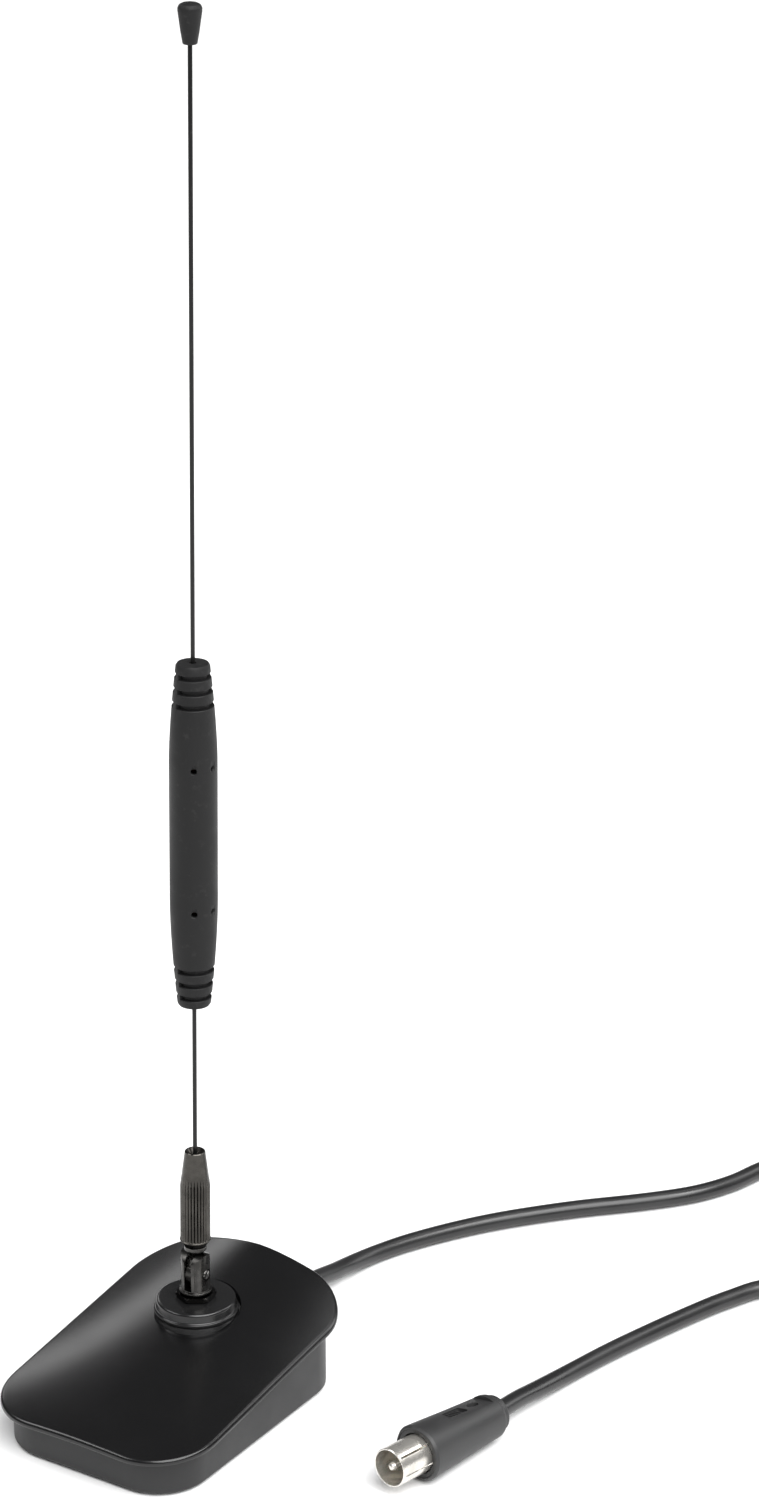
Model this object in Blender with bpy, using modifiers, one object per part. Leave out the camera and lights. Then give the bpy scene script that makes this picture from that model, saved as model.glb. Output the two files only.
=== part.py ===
"""Indoor aerial: a loaded rod on a swivel, a wedge-shaped base, and a coaxial lead with its plug.

Frame: +X is the base's width, +Y its length (the low front end is at -Y), +Z is up.
The origin is on the floor, under the middle of the base's lid.
Dimensions are in millimetres, and MM turns them into metres where a mesh is made.
"""

import math

import bmesh
import bpy
from mathutils import Euler, Vector

MM = 0.001
GAP = 0.3  # clearance between pieces that touch
ROUND = 28  # steps of a turned piece
SMALL_ROUND = 16  # steps of a small turned piece

# Base housing and its lid
BASE_WIDTH = 53.5
BASE_LENGTH = 72.0
BOARD_Y = 13.4
BASE_CORNER_FRONT = 13.0
BASE_CORNER_REAR = 11.0
OVERHANG = 3.05
WALL = 2.0
BASE_BOTTOM = 0.4
FLOOR_TOP = 2.8
LID_THICKNESS = 1.5
RIM_FRONT = 10.4
RIM_REAR = 20.8
CROWN_FRONT = 3.2
CROWN_REAR = 7.4
CROWN_POWER = 1.65
NOSE_ROUNDING = 0.65  # share of the crown that the front edge loses
NOSE_POWER = 5
SEAT_HEIGHT = 22.4
BOSS_RADIUS = 10.2
BOSS_FOOT = 10.35
SEAT_RADIUS = 10.75
POCKET_RADIUS = 11.0
PAD_INSET = 4.0
PAD_THICKNESS = 1.3
PAD_RECESS_TOP = 1.6
SCREW_X = 18.5
SCREW_Y = 27.0
BOSS_EMBED = 0.6  # how far a boss sinks into the floor it stands on
MAGNET_Y = -9.0
MAGNET_RADIUS = 12.5

# Whip foot: collar, swivel, pivot
WHIP_Y = 11.5
COLLAR_BOTTOM = 22.7
COLLAR_TOP = 26.05
COLLAR_RADIUS = 10.43
STUD_RADIUS = 2.5
STUD_BOTTOM = 15.9
HEX_FLATS = 8.7
HEX_TURN = 36.3  # degrees
HEX_TOP = 27.6
FLANGE_RADIUS = 4.0
FLANGE_TOP = 28.5
POST_RADIUS = 3.5
SLOT_WIDTH = 2.0
SLOT_BOTTOM = 28.9
PIVOT_Z = 32.8
EAR_TOP = 5.5  # above the pivot
EAR_RADIUS = 3.65
WHIP_LEAN = 1.25  # degrees back from upright, as it stands

# Whip, as distances from the pivot along its own axis
TONGUE_THICKNESS = 1.6
TONGUE_RADIUS = 3.15
NECK_BOTTOM = 5.8
NECK_RADIUS = 2.7
FERRULE_BOTTOM = 7.5
FLUTE_BOTTOM = 9.2
FERRULE_RIM_RADIUS = 3.8
FERRULE_CONE = 23.5
FERRULE_TOP = 32.5
FERRULE_RADIUS = 3.65
FERRULE_TIP_RADIUS = 2.5
ROD_RADIUS = 0.53
COIL_BOTTOM = 71.1
COIL_TOP = 156.6
COIL_RADIUS = 5.68
GROOVE_WIDTH = 1.2
GROOVE_PITCH = 3.45
GROOVE_DEPTH = 1.0
LOWER_GROOVE = 73.2
UPPER_GROOVE = 146.3
PIN_HOLES = (96.1, 131.8)
RIB_AZIMUTH = 64.5  # degrees from +X
COIL_CAVITY = (90.0, 140.0)
CAP_BOTTOM = 298.8
CAP_TOP = 308.0

# Lead and plug
CABLE_RADIUS = 2.25
EXIT_Z = 8.0
CLAMP_Y = 27.0
CLAMP_SCREW_X = 6.0
STRAP_BOTTOM = EXIT_Z + CABLE_RADIUS + GAP
STRAP_THICKNESS = 1.5
RELIEF_END = 50.0
PLUG_TIP = (66.1, -4.0, 7.5)
PLUG_HEADING = 9.7  # degrees from +Y towards +X, from the tip to the rear
PLUG_DROP = 2.5  # degrees that its rear hangs down
PLUG_TURN = (-90 - PLUG_DROP, 0, -PLUG_HEADING)
PLUG_LENGTH = 38.2
GRIP_TAPER = 3.4  # degrees
FACET_TURN = -12  # degrees about the plug's axis, from straight up
SLEEVE_OUTER = 4.76
SLEEVE_INNER = 4.4
COIL_CENTRE = (119.0, 178.0)
COIL_MEAN_RADIUS = 24.5
COIL_PITCH = 4.6
COIL_COLUMNS = 3
COIL_LAYERS = 3
COIL_FLOOR = 1.15  # the strap lies under the coil
TIE_THICKNESS = 0.8
TIE_WIDTH = 4.0
TIE_AZIMUTH = 20.0

# The lead's route on the floor, where it isn't coiled
ROUTE_FROM_BASE = [
    (0.0, 50.3, 8.0), (0.0, 56.0, 7.8), (0.0, 64.0, 6.6), (0.0, 72.0, 4.9), (-0.1, 79.5, 3.5),
    (1.2, 89.5, 2.4), (5.1, 100.0, 2.3), (12.0, 113.0, 2.3), (20.0, 125.0, 2.3), (32.0, 139.5, 2.3),
    (46.0, 154.0, 2.3), (55.0, 165.0, 2.3), (60.5, 176.0, 2.3), (64.0, 188.0, 2.4), (70.5, 199.0, 2.6),
    (81.0, 207.0, 3.0), (94.0, 211.2, 3.3), (107.0, 212.2, 3.4), (119.0, 211.9, 3.4),
]
ROUTE_TO_PLUG = [
    (135.9, 148.6, 11.5), (125.5, 143.4, 9.6), (114.0, 139.2, 6.6), (104.0, 135.0, 3.9), (97.8, 131.0, 2.8),
    (93.7, 126.8, 2.4), (91.0, 121.0, 2.3), (87.7, 112.5, 2.3), (82.7, 96.4, 2.3), (78.2, 80.0, 2.3),
    (75.0, 65.0, 2.4), (73.5, 52.0, 3.6), (72.9, 43.0, 4.9),
]

RUBBER = ("rubber_black", (0.03, 0.03, 0.03), 0.8, 0.0)
PLASTIC = ("abs_charcoal", (0.045, 0.045, 0.048), 0.45, 0.0)
GLOSS = ("gloss_black", (0.02, 0.02, 0.022), 0.18, 0.0)
MOULDED = ("moulded_black", (0.035, 0.035, 0.037), 0.6, 0.0)
BLACK_NICKEL = ("black_nickel", (0.13, 0.12, 0.11), 0.25, 0.9)
BRIGHT_NICKEL = ("bright_nickel", (0.75, 0.73, 0.68), 0.2, 1.0)
STEEL = ("zinc_steel", (0.55, 0.56, 0.58), 0.35, 1.0)
LACQUERED_ROD = ("black_rod", (0.02, 0.02, 0.02), 0.35, 0.3)
FERRITE = ("ferrite", (0.09, 0.09, 0.095), 0.6, 0.2)
BOARD = ("circuit_laminate", (0.06, 0.2, 0.09), 0.5, 0.0)
COPPER = ("copper_wire", (0.72, 0.38, 0.2), 0.3, 1.0)
JACKET = ("cable_jacket", (0.05, 0.05, 0.052), 0.5, 0.0)
INSULATOR = ("insulator_white", (0.85, 0.84, 0.8), 0.45, 0.0)


# ---------------------------------------------------------------- helpers

def clear_objects():
    for old in list(bpy.data.objects):
        bpy.data.objects.remove(old, do_unlink=True)


def make_collection(name):
    collection = bpy.data.collections.new(name)
    bpy.context.scene.collection.children.link(collection)
    return collection


def make_material(finish):
    name, colour, roughness, metallic = finish
    material = bpy.data.materials.get(name)
    if material is None:
        material = bpy.data.materials.new(name)
        material.use_nodes = True
        shader = material.node_tree.nodes["Principled BSDF"]
        shader.inputs["Base Color"].default_value = (*colour, 1.0)
        shader.inputs["Roughness"].default_value = roughness
        shader.inputs["Metallic"].default_value = metallic
    return material


def place(obj, finish, parent=None, at=(0, 0, 0), turn=(0, 0, 0)):
    """Put an object in the parts, or among the cutters when it has no finish."""
    obj.location = Vector(at) * MM
    obj.rotation_euler = Euler([math.radians(angle) for angle in turn])
    obj.parent = parent
    if finish is None:
        CUTTERS.objects.link(obj)
        obj.hide_render = True
        obj.display_type = "WIRE"
    else:
        PARTS.objects.link(obj)
        obj.data.materials.append(make_material(finish))
    return obj


def make_empty(name, at, turn=(0, 0, 0)):
    empty = bpy.data.objects.new(name, None)
    empty.location = Vector(at) * MM
    empty.rotation_euler = Euler([math.radians(angle) for angle in turn])
    PARTS.objects.link(empty)
    return empty


def signed_area(points):
    return 0.5 * sum(a[0] * b[1] - b[0] * a[1] for a, b in zip(points, points[1:] + points[:1]))


def turned(name, finish, profile, steps=ROUND, **where):
    """A solid of revolution from (radius, height) points; off the axis, the profile is a closed ring."""
    if signed_area(profile) > 0:
        profile = profile[::-1]
    count = len(profile)
    on_axis = min(radius for radius, _ in profile) == 0
    edges = [(i, i + 1) for i in range(count - 1)]
    if on_axis:
        start = next(i for i in range(count) if profile[i][0] == 0 and profile[i - 1][0] == 0)
        profile = profile[start:] + profile[:start]
    else:
        edges.append((count - 1, 0))
    mesh = bpy.data.meshes.new(name)
    mesh.from_pydata([(radius * MM, 0, height * MM) for radius, height in profile], edges, [])
    obj = bpy.data.objects.new(name, mesh)
    screw = obj.modifiers.new("turn", "SCREW")
    screw.steps = steps
    screw.render_steps = steps
    screw.use_merge_vertices = True
    screw.merge_threshold = 0.00001
    return place(obj, finish, **where)


def cylinder(name, finish, radius, bottom, top, steps=ROUND, **where):
    profile = [(0, top), (radius, top), (radius, bottom), (0, bottom)]
    return turned(name, finish, profile, steps, **where)


def block(name, finish, size, **where):
    mesh = bpy.data.meshes.new(name)
    shape = bmesh.new()
    bmesh.ops.create_cube(shape, size=1)
    bmesh.ops.scale(shape, vec=Vector(size) * MM, verts=shape.verts)
    shape.to_mesh(mesh)
    shape.free()
    return place(bpy.data.objects.new(name, mesh), finish, **where)


def plate(name, finish, outline, bottom, top, **where):
    """A flat outline with thickness, drawn as a filled 2D curve and kept as a mesh."""
    curve = bpy.data.curves.new(name, "CURVE")
    curve.dimensions = "2D"
    curve.fill_mode = "BOTH"
    curve.extrude = (top - bottom) / 2 * MM
    spline = curve.splines.new("POLY")
    spline.points.add(len(outline) - 1)
    for point, (x, y) in zip(spline.points, outline):
        point.co = (x * MM, y * MM, 0, 1)
    spline.use_cyclic_u = True
    drawn = bpy.data.objects.new(name + "_outline", curve)
    bpy.context.scene.collection.objects.link(drawn)
    evaluated = drawn.evaluated_get(bpy.context.evaluated_depsgraph_get())
    mesh = bpy.data.meshes.new_from_object(evaluated)
    bpy.data.objects.remove(drawn)
    shape = bmesh.new()
    shape.from_mesh(mesh)
    bmesh.ops.remove_doubles(shape, verts=shape.verts, dist=0.000001)
    bmesh.ops.translate(shape, vec=(0, 0, (top + bottom) / 2 * MM), verts=shape.verts)
    bmesh.ops.recalc_face_normals(shape, faces=shape.faces)
    shape.to_mesh(mesh)
    shape.free()
    mesh.materials.clear()
    return place(bpy.data.objects.new(name, mesh), finish, **where)


def loft(name, finish, rings, capped):
    """Skin equal-length rings of points; capped closes the two ends, otherwise last meets first."""
    shape = bmesh.new()
    rows = [[shape.verts.new(Vector(point) * MM) for point in ring] for ring in rings]
    pairs = list(zip(rows, rows[1:]))
    if capped:
        shape.faces.new(rows[0])
        shape.faces.new(rows[-1])
    else:
        pairs.append((rows[-1], rows[0]))
    for row, following in pairs:
        for i in range(len(row)):
            j = (i + 1) % len(row)
            shape.faces.new((row[i], row[j], following[j], following[i]))
    bmesh.ops.recalc_face_normals(shape, faces=shape.faces)
    mesh = bpy.data.meshes.new(name)
    shape.to_mesh(mesh)
    shape.free()
    return place(bpy.data.objects.new(name, mesh), finish)


def smooth_path(points, spacing):
    """Evenly spaced points on a Catmull-Rom curve through the route's points."""
    knots = [Vector(point) for point in points]
    knots = [2 * knots[0] - knots[1]] + knots + [2 * knots[-1] - knots[-2]]
    dense = []
    for a, b, c, d in zip(knots, knots[1:], knots[2:], knots[3:]):
        for step in range(20):
            t = step / 20
            bend = (2 * a - 5 * b + 4 * c - d) * t * t + (3 * b - 3 * c + d - a) * t ** 3
            dense.append(0.5 * (2 * b + (c - a) * t + bend))
    dense.append(knots[-2])
    lengths = [0.0]
    for a, b in zip(dense, dense[1:]):
        lengths.append(lengths[-1] + (b - a).length)
    count = max(2, round(lengths[-1] / spacing))
    path = []
    place_on = 0
    for step in range(count + 1):
        wanted = lengths[-1] * step / count
        while place_on < len(dense) - 2 and lengths[place_on + 1] < wanted:
            place_on += 1
        part = (wanted - lengths[place_on]) / (lengths[place_on + 1] - lengths[place_on])
        path.append(dense[place_on].lerp(dense[place_on + 1], min(part, 1.0)))
    return path


def tube(name, finish, path, radius, sides=1, **where):
    """A wire or cable: a poly curve with a round bevel and filled caps."""
    curve = bpy.data.curves.new(name, "CURVE")
    curve.dimensions = "3D"
    curve.bevel_depth = radius * MM
    curve.bevel_resolution = sides
    curve.use_fill_caps = True
    curve.resolution_u = 1
    curve.render_resolution_u = 0
    spline = curve.splines.new("POLY")
    spline.points.add(len(path) - 1)
    for point, position in zip(spline.points, path):
        point.co = (*(Vector(position) * MM), 1)
    return place(bpy.data.objects.new(name, curve), finish, **where)


def combine(target, tool, operation):
    modifier = target.modifiers.new(operation.lower(), "BOOLEAN")
    modifier.operation = operation
    modifier.object = tool


def cut(target, *tools):
    for tool in tools:
        combine(target, tool, "DIFFERENCE")


def join(target, *tools):
    for tool in tools:
        combine(target, tool, "UNION")


def polygon(sides, across_flats, turn=0.0):
    reach = across_flats / 2 / math.cos(math.pi / sides)
    angles = [turn + 2 * math.pi * i / sides for i in range(sides)]
    return [(reach * math.cos(angle), reach * math.sin(angle)) for angle in angles]


# ---------------------------------------------------------------- base

def outline(inset):
    """The base's rounded plan, counter-clockwise from the rear right corner; inset 0 is the lid's edge."""
    half_x = BASE_WIDTH / 2 + OVERHANG - inset
    half_y = BASE_LENGTH / 2 + OVERHANG - inset
    rear = max(BASE_CORNER_REAR + OVERHANG - inset, 0.5)
    front = max(BASE_CORNER_FRONT + OVERHANG - inset, 0.5)
    corners = [
        (half_x - rear, half_y - rear, rear, 0), (rear - half_x, half_y - rear, rear, 90),
        (front - half_x, front - half_y, front, 180), (half_x - front, front - half_y, front, 270),
    ]
    arc_steps = 6
    side_steps = 3
    points = []
    for i, (x, y, radius, start) in enumerate(corners):
        for step in range(arc_steps + 1):
            angle = math.radians(start + 90 * step / arc_steps)
            points.append((x + radius * math.cos(angle), y + radius * math.sin(angle)))
        after = corners[(i + 1) % 4]
        first = math.radians(after[3])
        to = (after[0] + after[2] * math.cos(first), after[1] + after[2] * math.sin(first))
        last = points[-1]
        for step in range(1, side_steps):
            part = step / side_steps
            points.append((last[0] + (to[0] - last[0]) * part, last[1] + (to[1] - last[1]) * part))
    return points


def crowned_height(x, y):
    """The lid's wedge, which climbs and crowns towards the rear."""
    half_x = BASE_WIDTH / 2 + OVERHANG
    half_y = BASE_LENGTH / 2 + OVERHANG
    along = (y + half_y) / (2 * half_y)
    across = min(abs(x) / half_x, 1.0)
    rim = RIM_FRONT + (RIM_REAR - RIM_FRONT) * along
    crown = CROWN_FRONT + (CROWN_REAR - CROWN_FRONT) * along
    nose = 1 - NOSE_ROUNDING * max(1 - along, 0) ** NOSE_POWER
    return rim + crown * nose * (1 - across ** CROWN_POWER)


def lid_height(x, y):
    """The lid's upper surface with the collar's level seat: a boss in front, sunk in behind."""
    height = crowned_height(x, y)
    away = math.hypot(x, y - WHIP_Y)
    sunk = min(height, SEAT_HEIGHT)
    if away <= BOSS_RADIUS:
        return SEAT_HEIGHT
    if away <= BOSS_FOOT:
        return SEAT_HEIGHT + (sunk - SEAT_HEIGHT) * (away - BOSS_RADIUS) / (BOSS_FOOT - BOSS_RADIUS)
    if away <= POCKET_RADIUS:
        return sunk + (height - sunk) * max(away - SEAT_RADIUS, 0) / (POCKET_RADIUS - SEAT_RADIUS)
    return height


def edge_ring(inset, drop):
    return [(x, y, lid_height(x, y) - drop) for x, y in outline(inset)]


def inner_ring(part, inset, drop):
    """A ring between the seat's pocket (part 0) and the outline at an inset (part 1)."""
    ring = []
    for x, y in outline(inset):
        reach = math.hypot(x, y - WHIP_Y)
        start_x = x / reach * POCKET_RADIUS
        start_y = WHIP_Y + (y - WHIP_Y) / reach * POCKET_RADIUS
        at_x = start_x + (x - start_x) * part
        at_y = start_y + (y - start_y) * part
        ring.append((at_x, at_y, lid_height(at_x, at_y) - drop))
    return ring


def round_ring(radius, drop):
    """A ring around the whip's axis that follows the lid, a little inside the given radius."""
    ring = []
    for x, y in outline(0):
        reach = math.hypot(x, y - WHIP_Y)
        at_x = x / reach * radius
        at_y = (y - WHIP_Y) / reach * radius
        ring.append((at_x, WHIP_Y + at_y, lid_height(at_x * 0.9999, WHIP_Y + at_y * 0.9999) - drop))
    return ring


def lid_post(name, x, y, bottom, radius):
    """A round post whose head follows the lid's underside, sunk a little into it."""
    steps = SMALL_ROUND
    foot = []
    head = []
    for i in range(steps):
        angle = 2 * math.pi * i / steps
        at_x = x + radius * math.cos(angle)
        at_y = y + radius * math.sin(angle)
        foot.append((at_x, at_y, bottom))
        head.append((at_x, at_y, lid_height(at_x, at_y) - LID_THICKNESS / 2))
    return loft(name, None, [foot, head], capped=True)


def screw_places():
    return [(side * SCREW_X, end * SCREW_Y) for end in (-1, 1) for side in (-1, 1)]


def stake_places():
    return [(side * 8.2, BOARD_Y + end * 4.8) for end in (-1, 1) for side in (-1, 1)]


def make_lid():
    under = LID_THICKNESS
    wall_inner = OVERHANG + WALL
    rib_outer = wall_inner + 0.35
    rib_inner = rib_outer + 1.0
    rib_depth = 2.4
    hole = STUD_RADIUS + GAP
    rings = [round_ring(radius, 0) for radius in (hole, BOSS_RADIUS, BOSS_FOOT, SEAT_RADIUS, POCKET_RADIUS)]
    rings += [inner_ring(part, 3, 0) for part in (0.15, 0.36, 0.55, 0.78)]
    rings += [edge_ring(3, 0), edge_ring(0.5, 0), edge_ring(0, 0.4), edge_ring(0, 1.1), edge_ring(0.4, 1.4)]
    rings += [edge_ring(2.6, under), edge_ring(rib_outer, under), edge_ring(rib_outer, under + rib_depth)]
    rings += [edge_ring(rib_inner, under + rib_depth), edge_ring(rib_inner, under)]
    rings += [inner_ring(part, rib_inner, under) for part in (0.6, 0.25)]
    under_boss = BOSS_RADIUS - 1.0
    rings += [round_ring(radius, under) for radius in (POCKET_RADIUS + 0.8, SEAT_RADIUS, under_boss, hole)]
    lid = loft("top_cover", PLASTIC, rings, capped=False)
    for i, (x, y) in enumerate(screw_places()):
        join(lid, lid_post(f"lid_post_{i + 1}", x, y, 5.3, 2.5))
        cut(lid, cylinder(f"lid_pilot_{i + 1}", None, 1.1, 4.0, 9.4, 12, at=(x, y, 0)))


def make_housing():
    """The tub: a floor and walls that follow the lid's underside, with its bosses and holes."""
    wall_top = LID_THICKNESS + GAP + 0.1
    outer = OVERHANG
    inner = OVERHANG + WALL
    rings = [[(x, y, PAD_RECESS_TOP) for x, y in outline(outer + PAD_INSET)]]
    rings.append([(x, y, BASE_BOTTOM) for x, y in outline(outer + PAD_INSET)])
    rings.append([(x, y, BASE_BOTTOM) for x, y in outline(outer + 0.5)])
    rings.append([(x, y, BASE_BOTTOM + 0.5) for x, y in outline(outer)])
    rings += [edge_ring(outer, wall_top), edge_ring(inner, wall_top)]
    rings.append([(x, y, FLOOR_TOP) for x, y in outline(inner)])
    tub = loft("base_housing", PLASTIC, rings, capped=True)
    embed = FLOOR_TOP - BOSS_EMBED
    for i, (x, y) in enumerate(screw_places()):
        join(tub, cylinder(f"screw_boss_{i + 1}", None, 3.2, embed, 5.0, 16, at=(x, y, 0)))
    nest = MAGNET_RADIUS + 0.4
    nest_wall = [(nest + 1.3, 6.0), (nest + 1.3, embed), (nest, embed), (nest, 6.0)]
    join(tub, turned("magnet_nest", None, nest_wall, 24, at=(0, MAGNET_Y, 0)))
    for i, (x, y) in enumerate(stake_places()):
        stake = [(0, 11.3), (0.8, 11.3), (0.8, 9.0), (1.7, 9.0), (1.7, embed), (0, embed)]
        join(tub, turned(f"board_stake_{i + 1}", None, stake, 10, at=(x, y, 0)))
    boss_top = STRAP_BOTTOM - GAP
    for i, x in enumerate((-CLAMP_SCREW_X, CLAMP_SCREW_X)):
        at = (x, CLAMP_Y, 0)
        join(tub, cylinder(f"clamp_boss_{i + 1}", None, 2.2, embed, boss_top, 12, at=at))
        cut(tub, cylinder(f"clamp_pilot_{i + 1}", None, 0.95, 4.6, 12.0, 10, at=at))
    saddle_top = EXIT_Z - CABLE_RADIUS - GAP
    saddle_size = (5.0, 2.0, saddle_top - embed)
    join(tub, block("cable_saddle", None, saddle_size, at=(0, CLAMP_Y, (saddle_top + embed) / 2)))
    for i, (x, y) in enumerate(screw_places()):
        shank = [(0, 7.0), (1.35, 7.0), (1.35, 3.2), (2.3, 3.2), (2.3, 1.0), (0, 1.0)]
        cut(tub, turned(f"screw_hole_{i + 1}", None, shank, 16, at=(x, y, 0)))
    cut(tub, cylinder("lead_hole", None, 3.8, -6, 6, 20, at=(0, BASE_LENGTH / 2, EXIT_Z), turn=(90, 0, 0)))


def make_foot():
    edge = OVERHANG + PAD_INSET + GAP
    plate("foot_pad", RUBBER, outline(edge), 0.0, PAD_THICKNESS)
    bottom = FLOOR_TOP + GAP
    top = bottom + 4.0
    magnet = [(MAGNET_RADIUS, top), (MAGNET_RADIUS, bottom), (3.0, bottom), (3.0, top)]
    turned("foot_magnet", FERRITE, magnet, 24, at=(0, MAGNET_Y, 0))
    cylinder("magnet_yoke", STEEL, MAGNET_RADIUS, top + GAP, top + GAP + 1.3, 24, at=(0, MAGNET_Y, 0))


def make_screw(name, at, head_radius, head_height, shank_radius, length, turn=(0, 0, 0)):
    """Its head's face is at height 0 and its shank rises from it; a cross slot is cut in the face."""
    profile = [
        (0, length), (shank_radius * 0.5, length), (shank_radius, length - shank_radius),
        (shank_radius, head_height), (head_radius, head_height),
        (head_radius, head_height * 0.35), (head_radius * 0.75, 0), (0, 0),
    ]
    screw = turned(name, STEEL, profile, 12, at=at, turn=turn)
    for i, spin in enumerate((0, 90)):
        size = (head_radius * 1.1, head_radius * 0.28, head_height * 0.9)
        slot_turn = (turn[0], turn[1], turn[2] + spin)
        cut(screw, block(f"{name}_slot_{i + 1}", None, size, at=at, turn=slot_turn))


def make_fasteners():
    for i, (x, y) in enumerate(screw_places()):
        make_screw(f"cover_screw_{i + 1}", (x, y, 1.9), 1.9, 1.0, 0.8, 7.0)
    middle = STRAP_BOTTOM + STRAP_THICKNESS / 2
    head_face = STRAP_BOTTOM + STRAP_THICKNESS + GAP + 0.9
    upside_down = (180, 0, 0)
    strap = block("cable_clamp", PLASTIC, (17.0, 4.6, STRAP_THICKNESS), at=(0, CLAMP_Y, middle))
    for i, x in enumerate((-CLAMP_SCREW_X, CLAMP_SCREW_X)):
        make_screw(f"clamp_screw_{i + 1}", (x, CLAMP_Y, head_face), 1.8, 0.9, 0.65, 6.5, upside_down)
        cut(strap, cylinder(f"strap_hole_{i + 1}", None, 0.95, 8, 14, 10, at=(x, CLAMP_Y, 0)))


def make_board():
    board = block("circuit_board", BOARD, (21.0, 14.0, 1.2), at=(0, BOARD_Y, 9.9))
    for i, (x, y) in enumerate(stake_places()):
        cut(board, cylinder(f"board_hole_{i + 1}", None, 1.1, 8, 12, 10, at=(x, y, 0)))
    ring = [(2.6, 13.4), (2.6, 10.8), (1.1, 10.8), (1.1, 13.4)]
    turned("balun_core", FERRITE, ring, SMALL_ROUND, at=(-4.0, 11.0, 0))
    core = [(0, 21.7, EXIT_Z), (0, 20.6, EXIT_Z), (0, 19.6, EXIT_Z + 0.3), (0, 19.0, EXIT_Z + 1.0)]
    tube("cable_core_wire", COPPER, smooth_path(core, 0.8), 0.4)
    riser = [(3, 17.0, 10.8), (3, 17.6, 13.0), (1.6, 19.6, 16.0), (0, 20.1, 19.8)]
    tube("whip_lead", COPPER, smooth_path(riser, 1.5), 0.6)


def make_lead_entry():
    """The lead's inner end, and the moulded relief that grips it through the rear wall."""
    rear = BASE_LENGTH / 2
    inner_face = rear - WALL - 2.2
    relief = [
        (0, inner_face), (4.8, inner_face), (4.8, rear - WALL - GAP),
        (3.5, rear - WALL - GAP), (3.5, rear + GAP), (4.8, rear + GAP), (4.8, rear + 1.3),
        (4.0, rear + 1.9), (2.75, RELIEF_END - 0.4), (2.45, RELIEF_END), (0, RELIEF_END),
    ]
    along_y = (-90, 0, 0)
    turned("strain_relief", RUBBER, relief, 20, at=(0, 0, EXIT_Z), turn=along_y)
    lead_at = (0, 0, EXIT_Z)
    cylinder("lead_inside_base", JACKET, CABLE_RADIUS, 22.0, inner_face - GAP, 12, at=lead_at, turn=along_y)


# ---------------------------------------------------------------- whip foot

def make_collar():
    hole = STUD_RADIUS + GAP
    profile = [
        (hole, COLLAR_TOP), (9.0, COLLAR_TOP), (9.4, COLLAR_TOP - 0.25), (9.65, COLLAR_TOP - 0.7),
        (10.0, COLLAR_BOTTOM + 0.75), (COLLAR_RADIUS, COLLAR_BOTTOM + 0.5),
        (COLLAR_RADIUS, COLLAR_BOTTOM), (hole, COLLAR_BOTTOM),
    ]
    turned("collar", GLOSS, profile, 40, at=(0, WHIP_Y, 0))


def make_swivel():
    """The fixed bushing with its nut under the lid, and the post that turns in it."""
    axis = (0, WHIP_Y, 0)
    hexagon = polygon(6, HEX_FLATS, math.radians(HEX_TURN))
    bushing = plate("swivel_bushing", BLACK_NICKEL, hexagon, COLLAR_TOP + GAP, HEX_TOP, at=axis)
    join(bushing, cylinder("bushing_stud", None, STUD_RADIUS, STUD_BOTTOM, HEX_TOP - 0.5, 20, at=axis))
    cut(bushing, cylinder("bushing_bore", None, 1.5, 10, 35, 16, at=axis))
    tag = plate("solder_tag", BRIGHT_NICKEL, polygon(16, 10.0), 20.1, 20.6, at=axis)
    join(tag, block("tag_tail", None, (3.0, 8.0, 0.5), at=(0, WHIP_Y + 7.0, 20.35)))
    cut(tag, cylinder("tag_hole", None, STUD_RADIUS + GAP, 15, 25, 20, at=axis))
    washer = [(4.6, 19.8), (4.6, 19.1), (STUD_RADIUS + GAP, 19.1), (STUD_RADIUS + GAP, 19.8)]
    turned("lock_washer", STEEL, washer, 20, at=axis)
    nut = plate("lock_nut", STEEL, polygon(6, 8.0), 16.4, 18.8, at=axis)
    cut(nut, cylinder("nut_bore", None, STUD_RADIUS + GAP, 10, 25, 20, at=axis))


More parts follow.
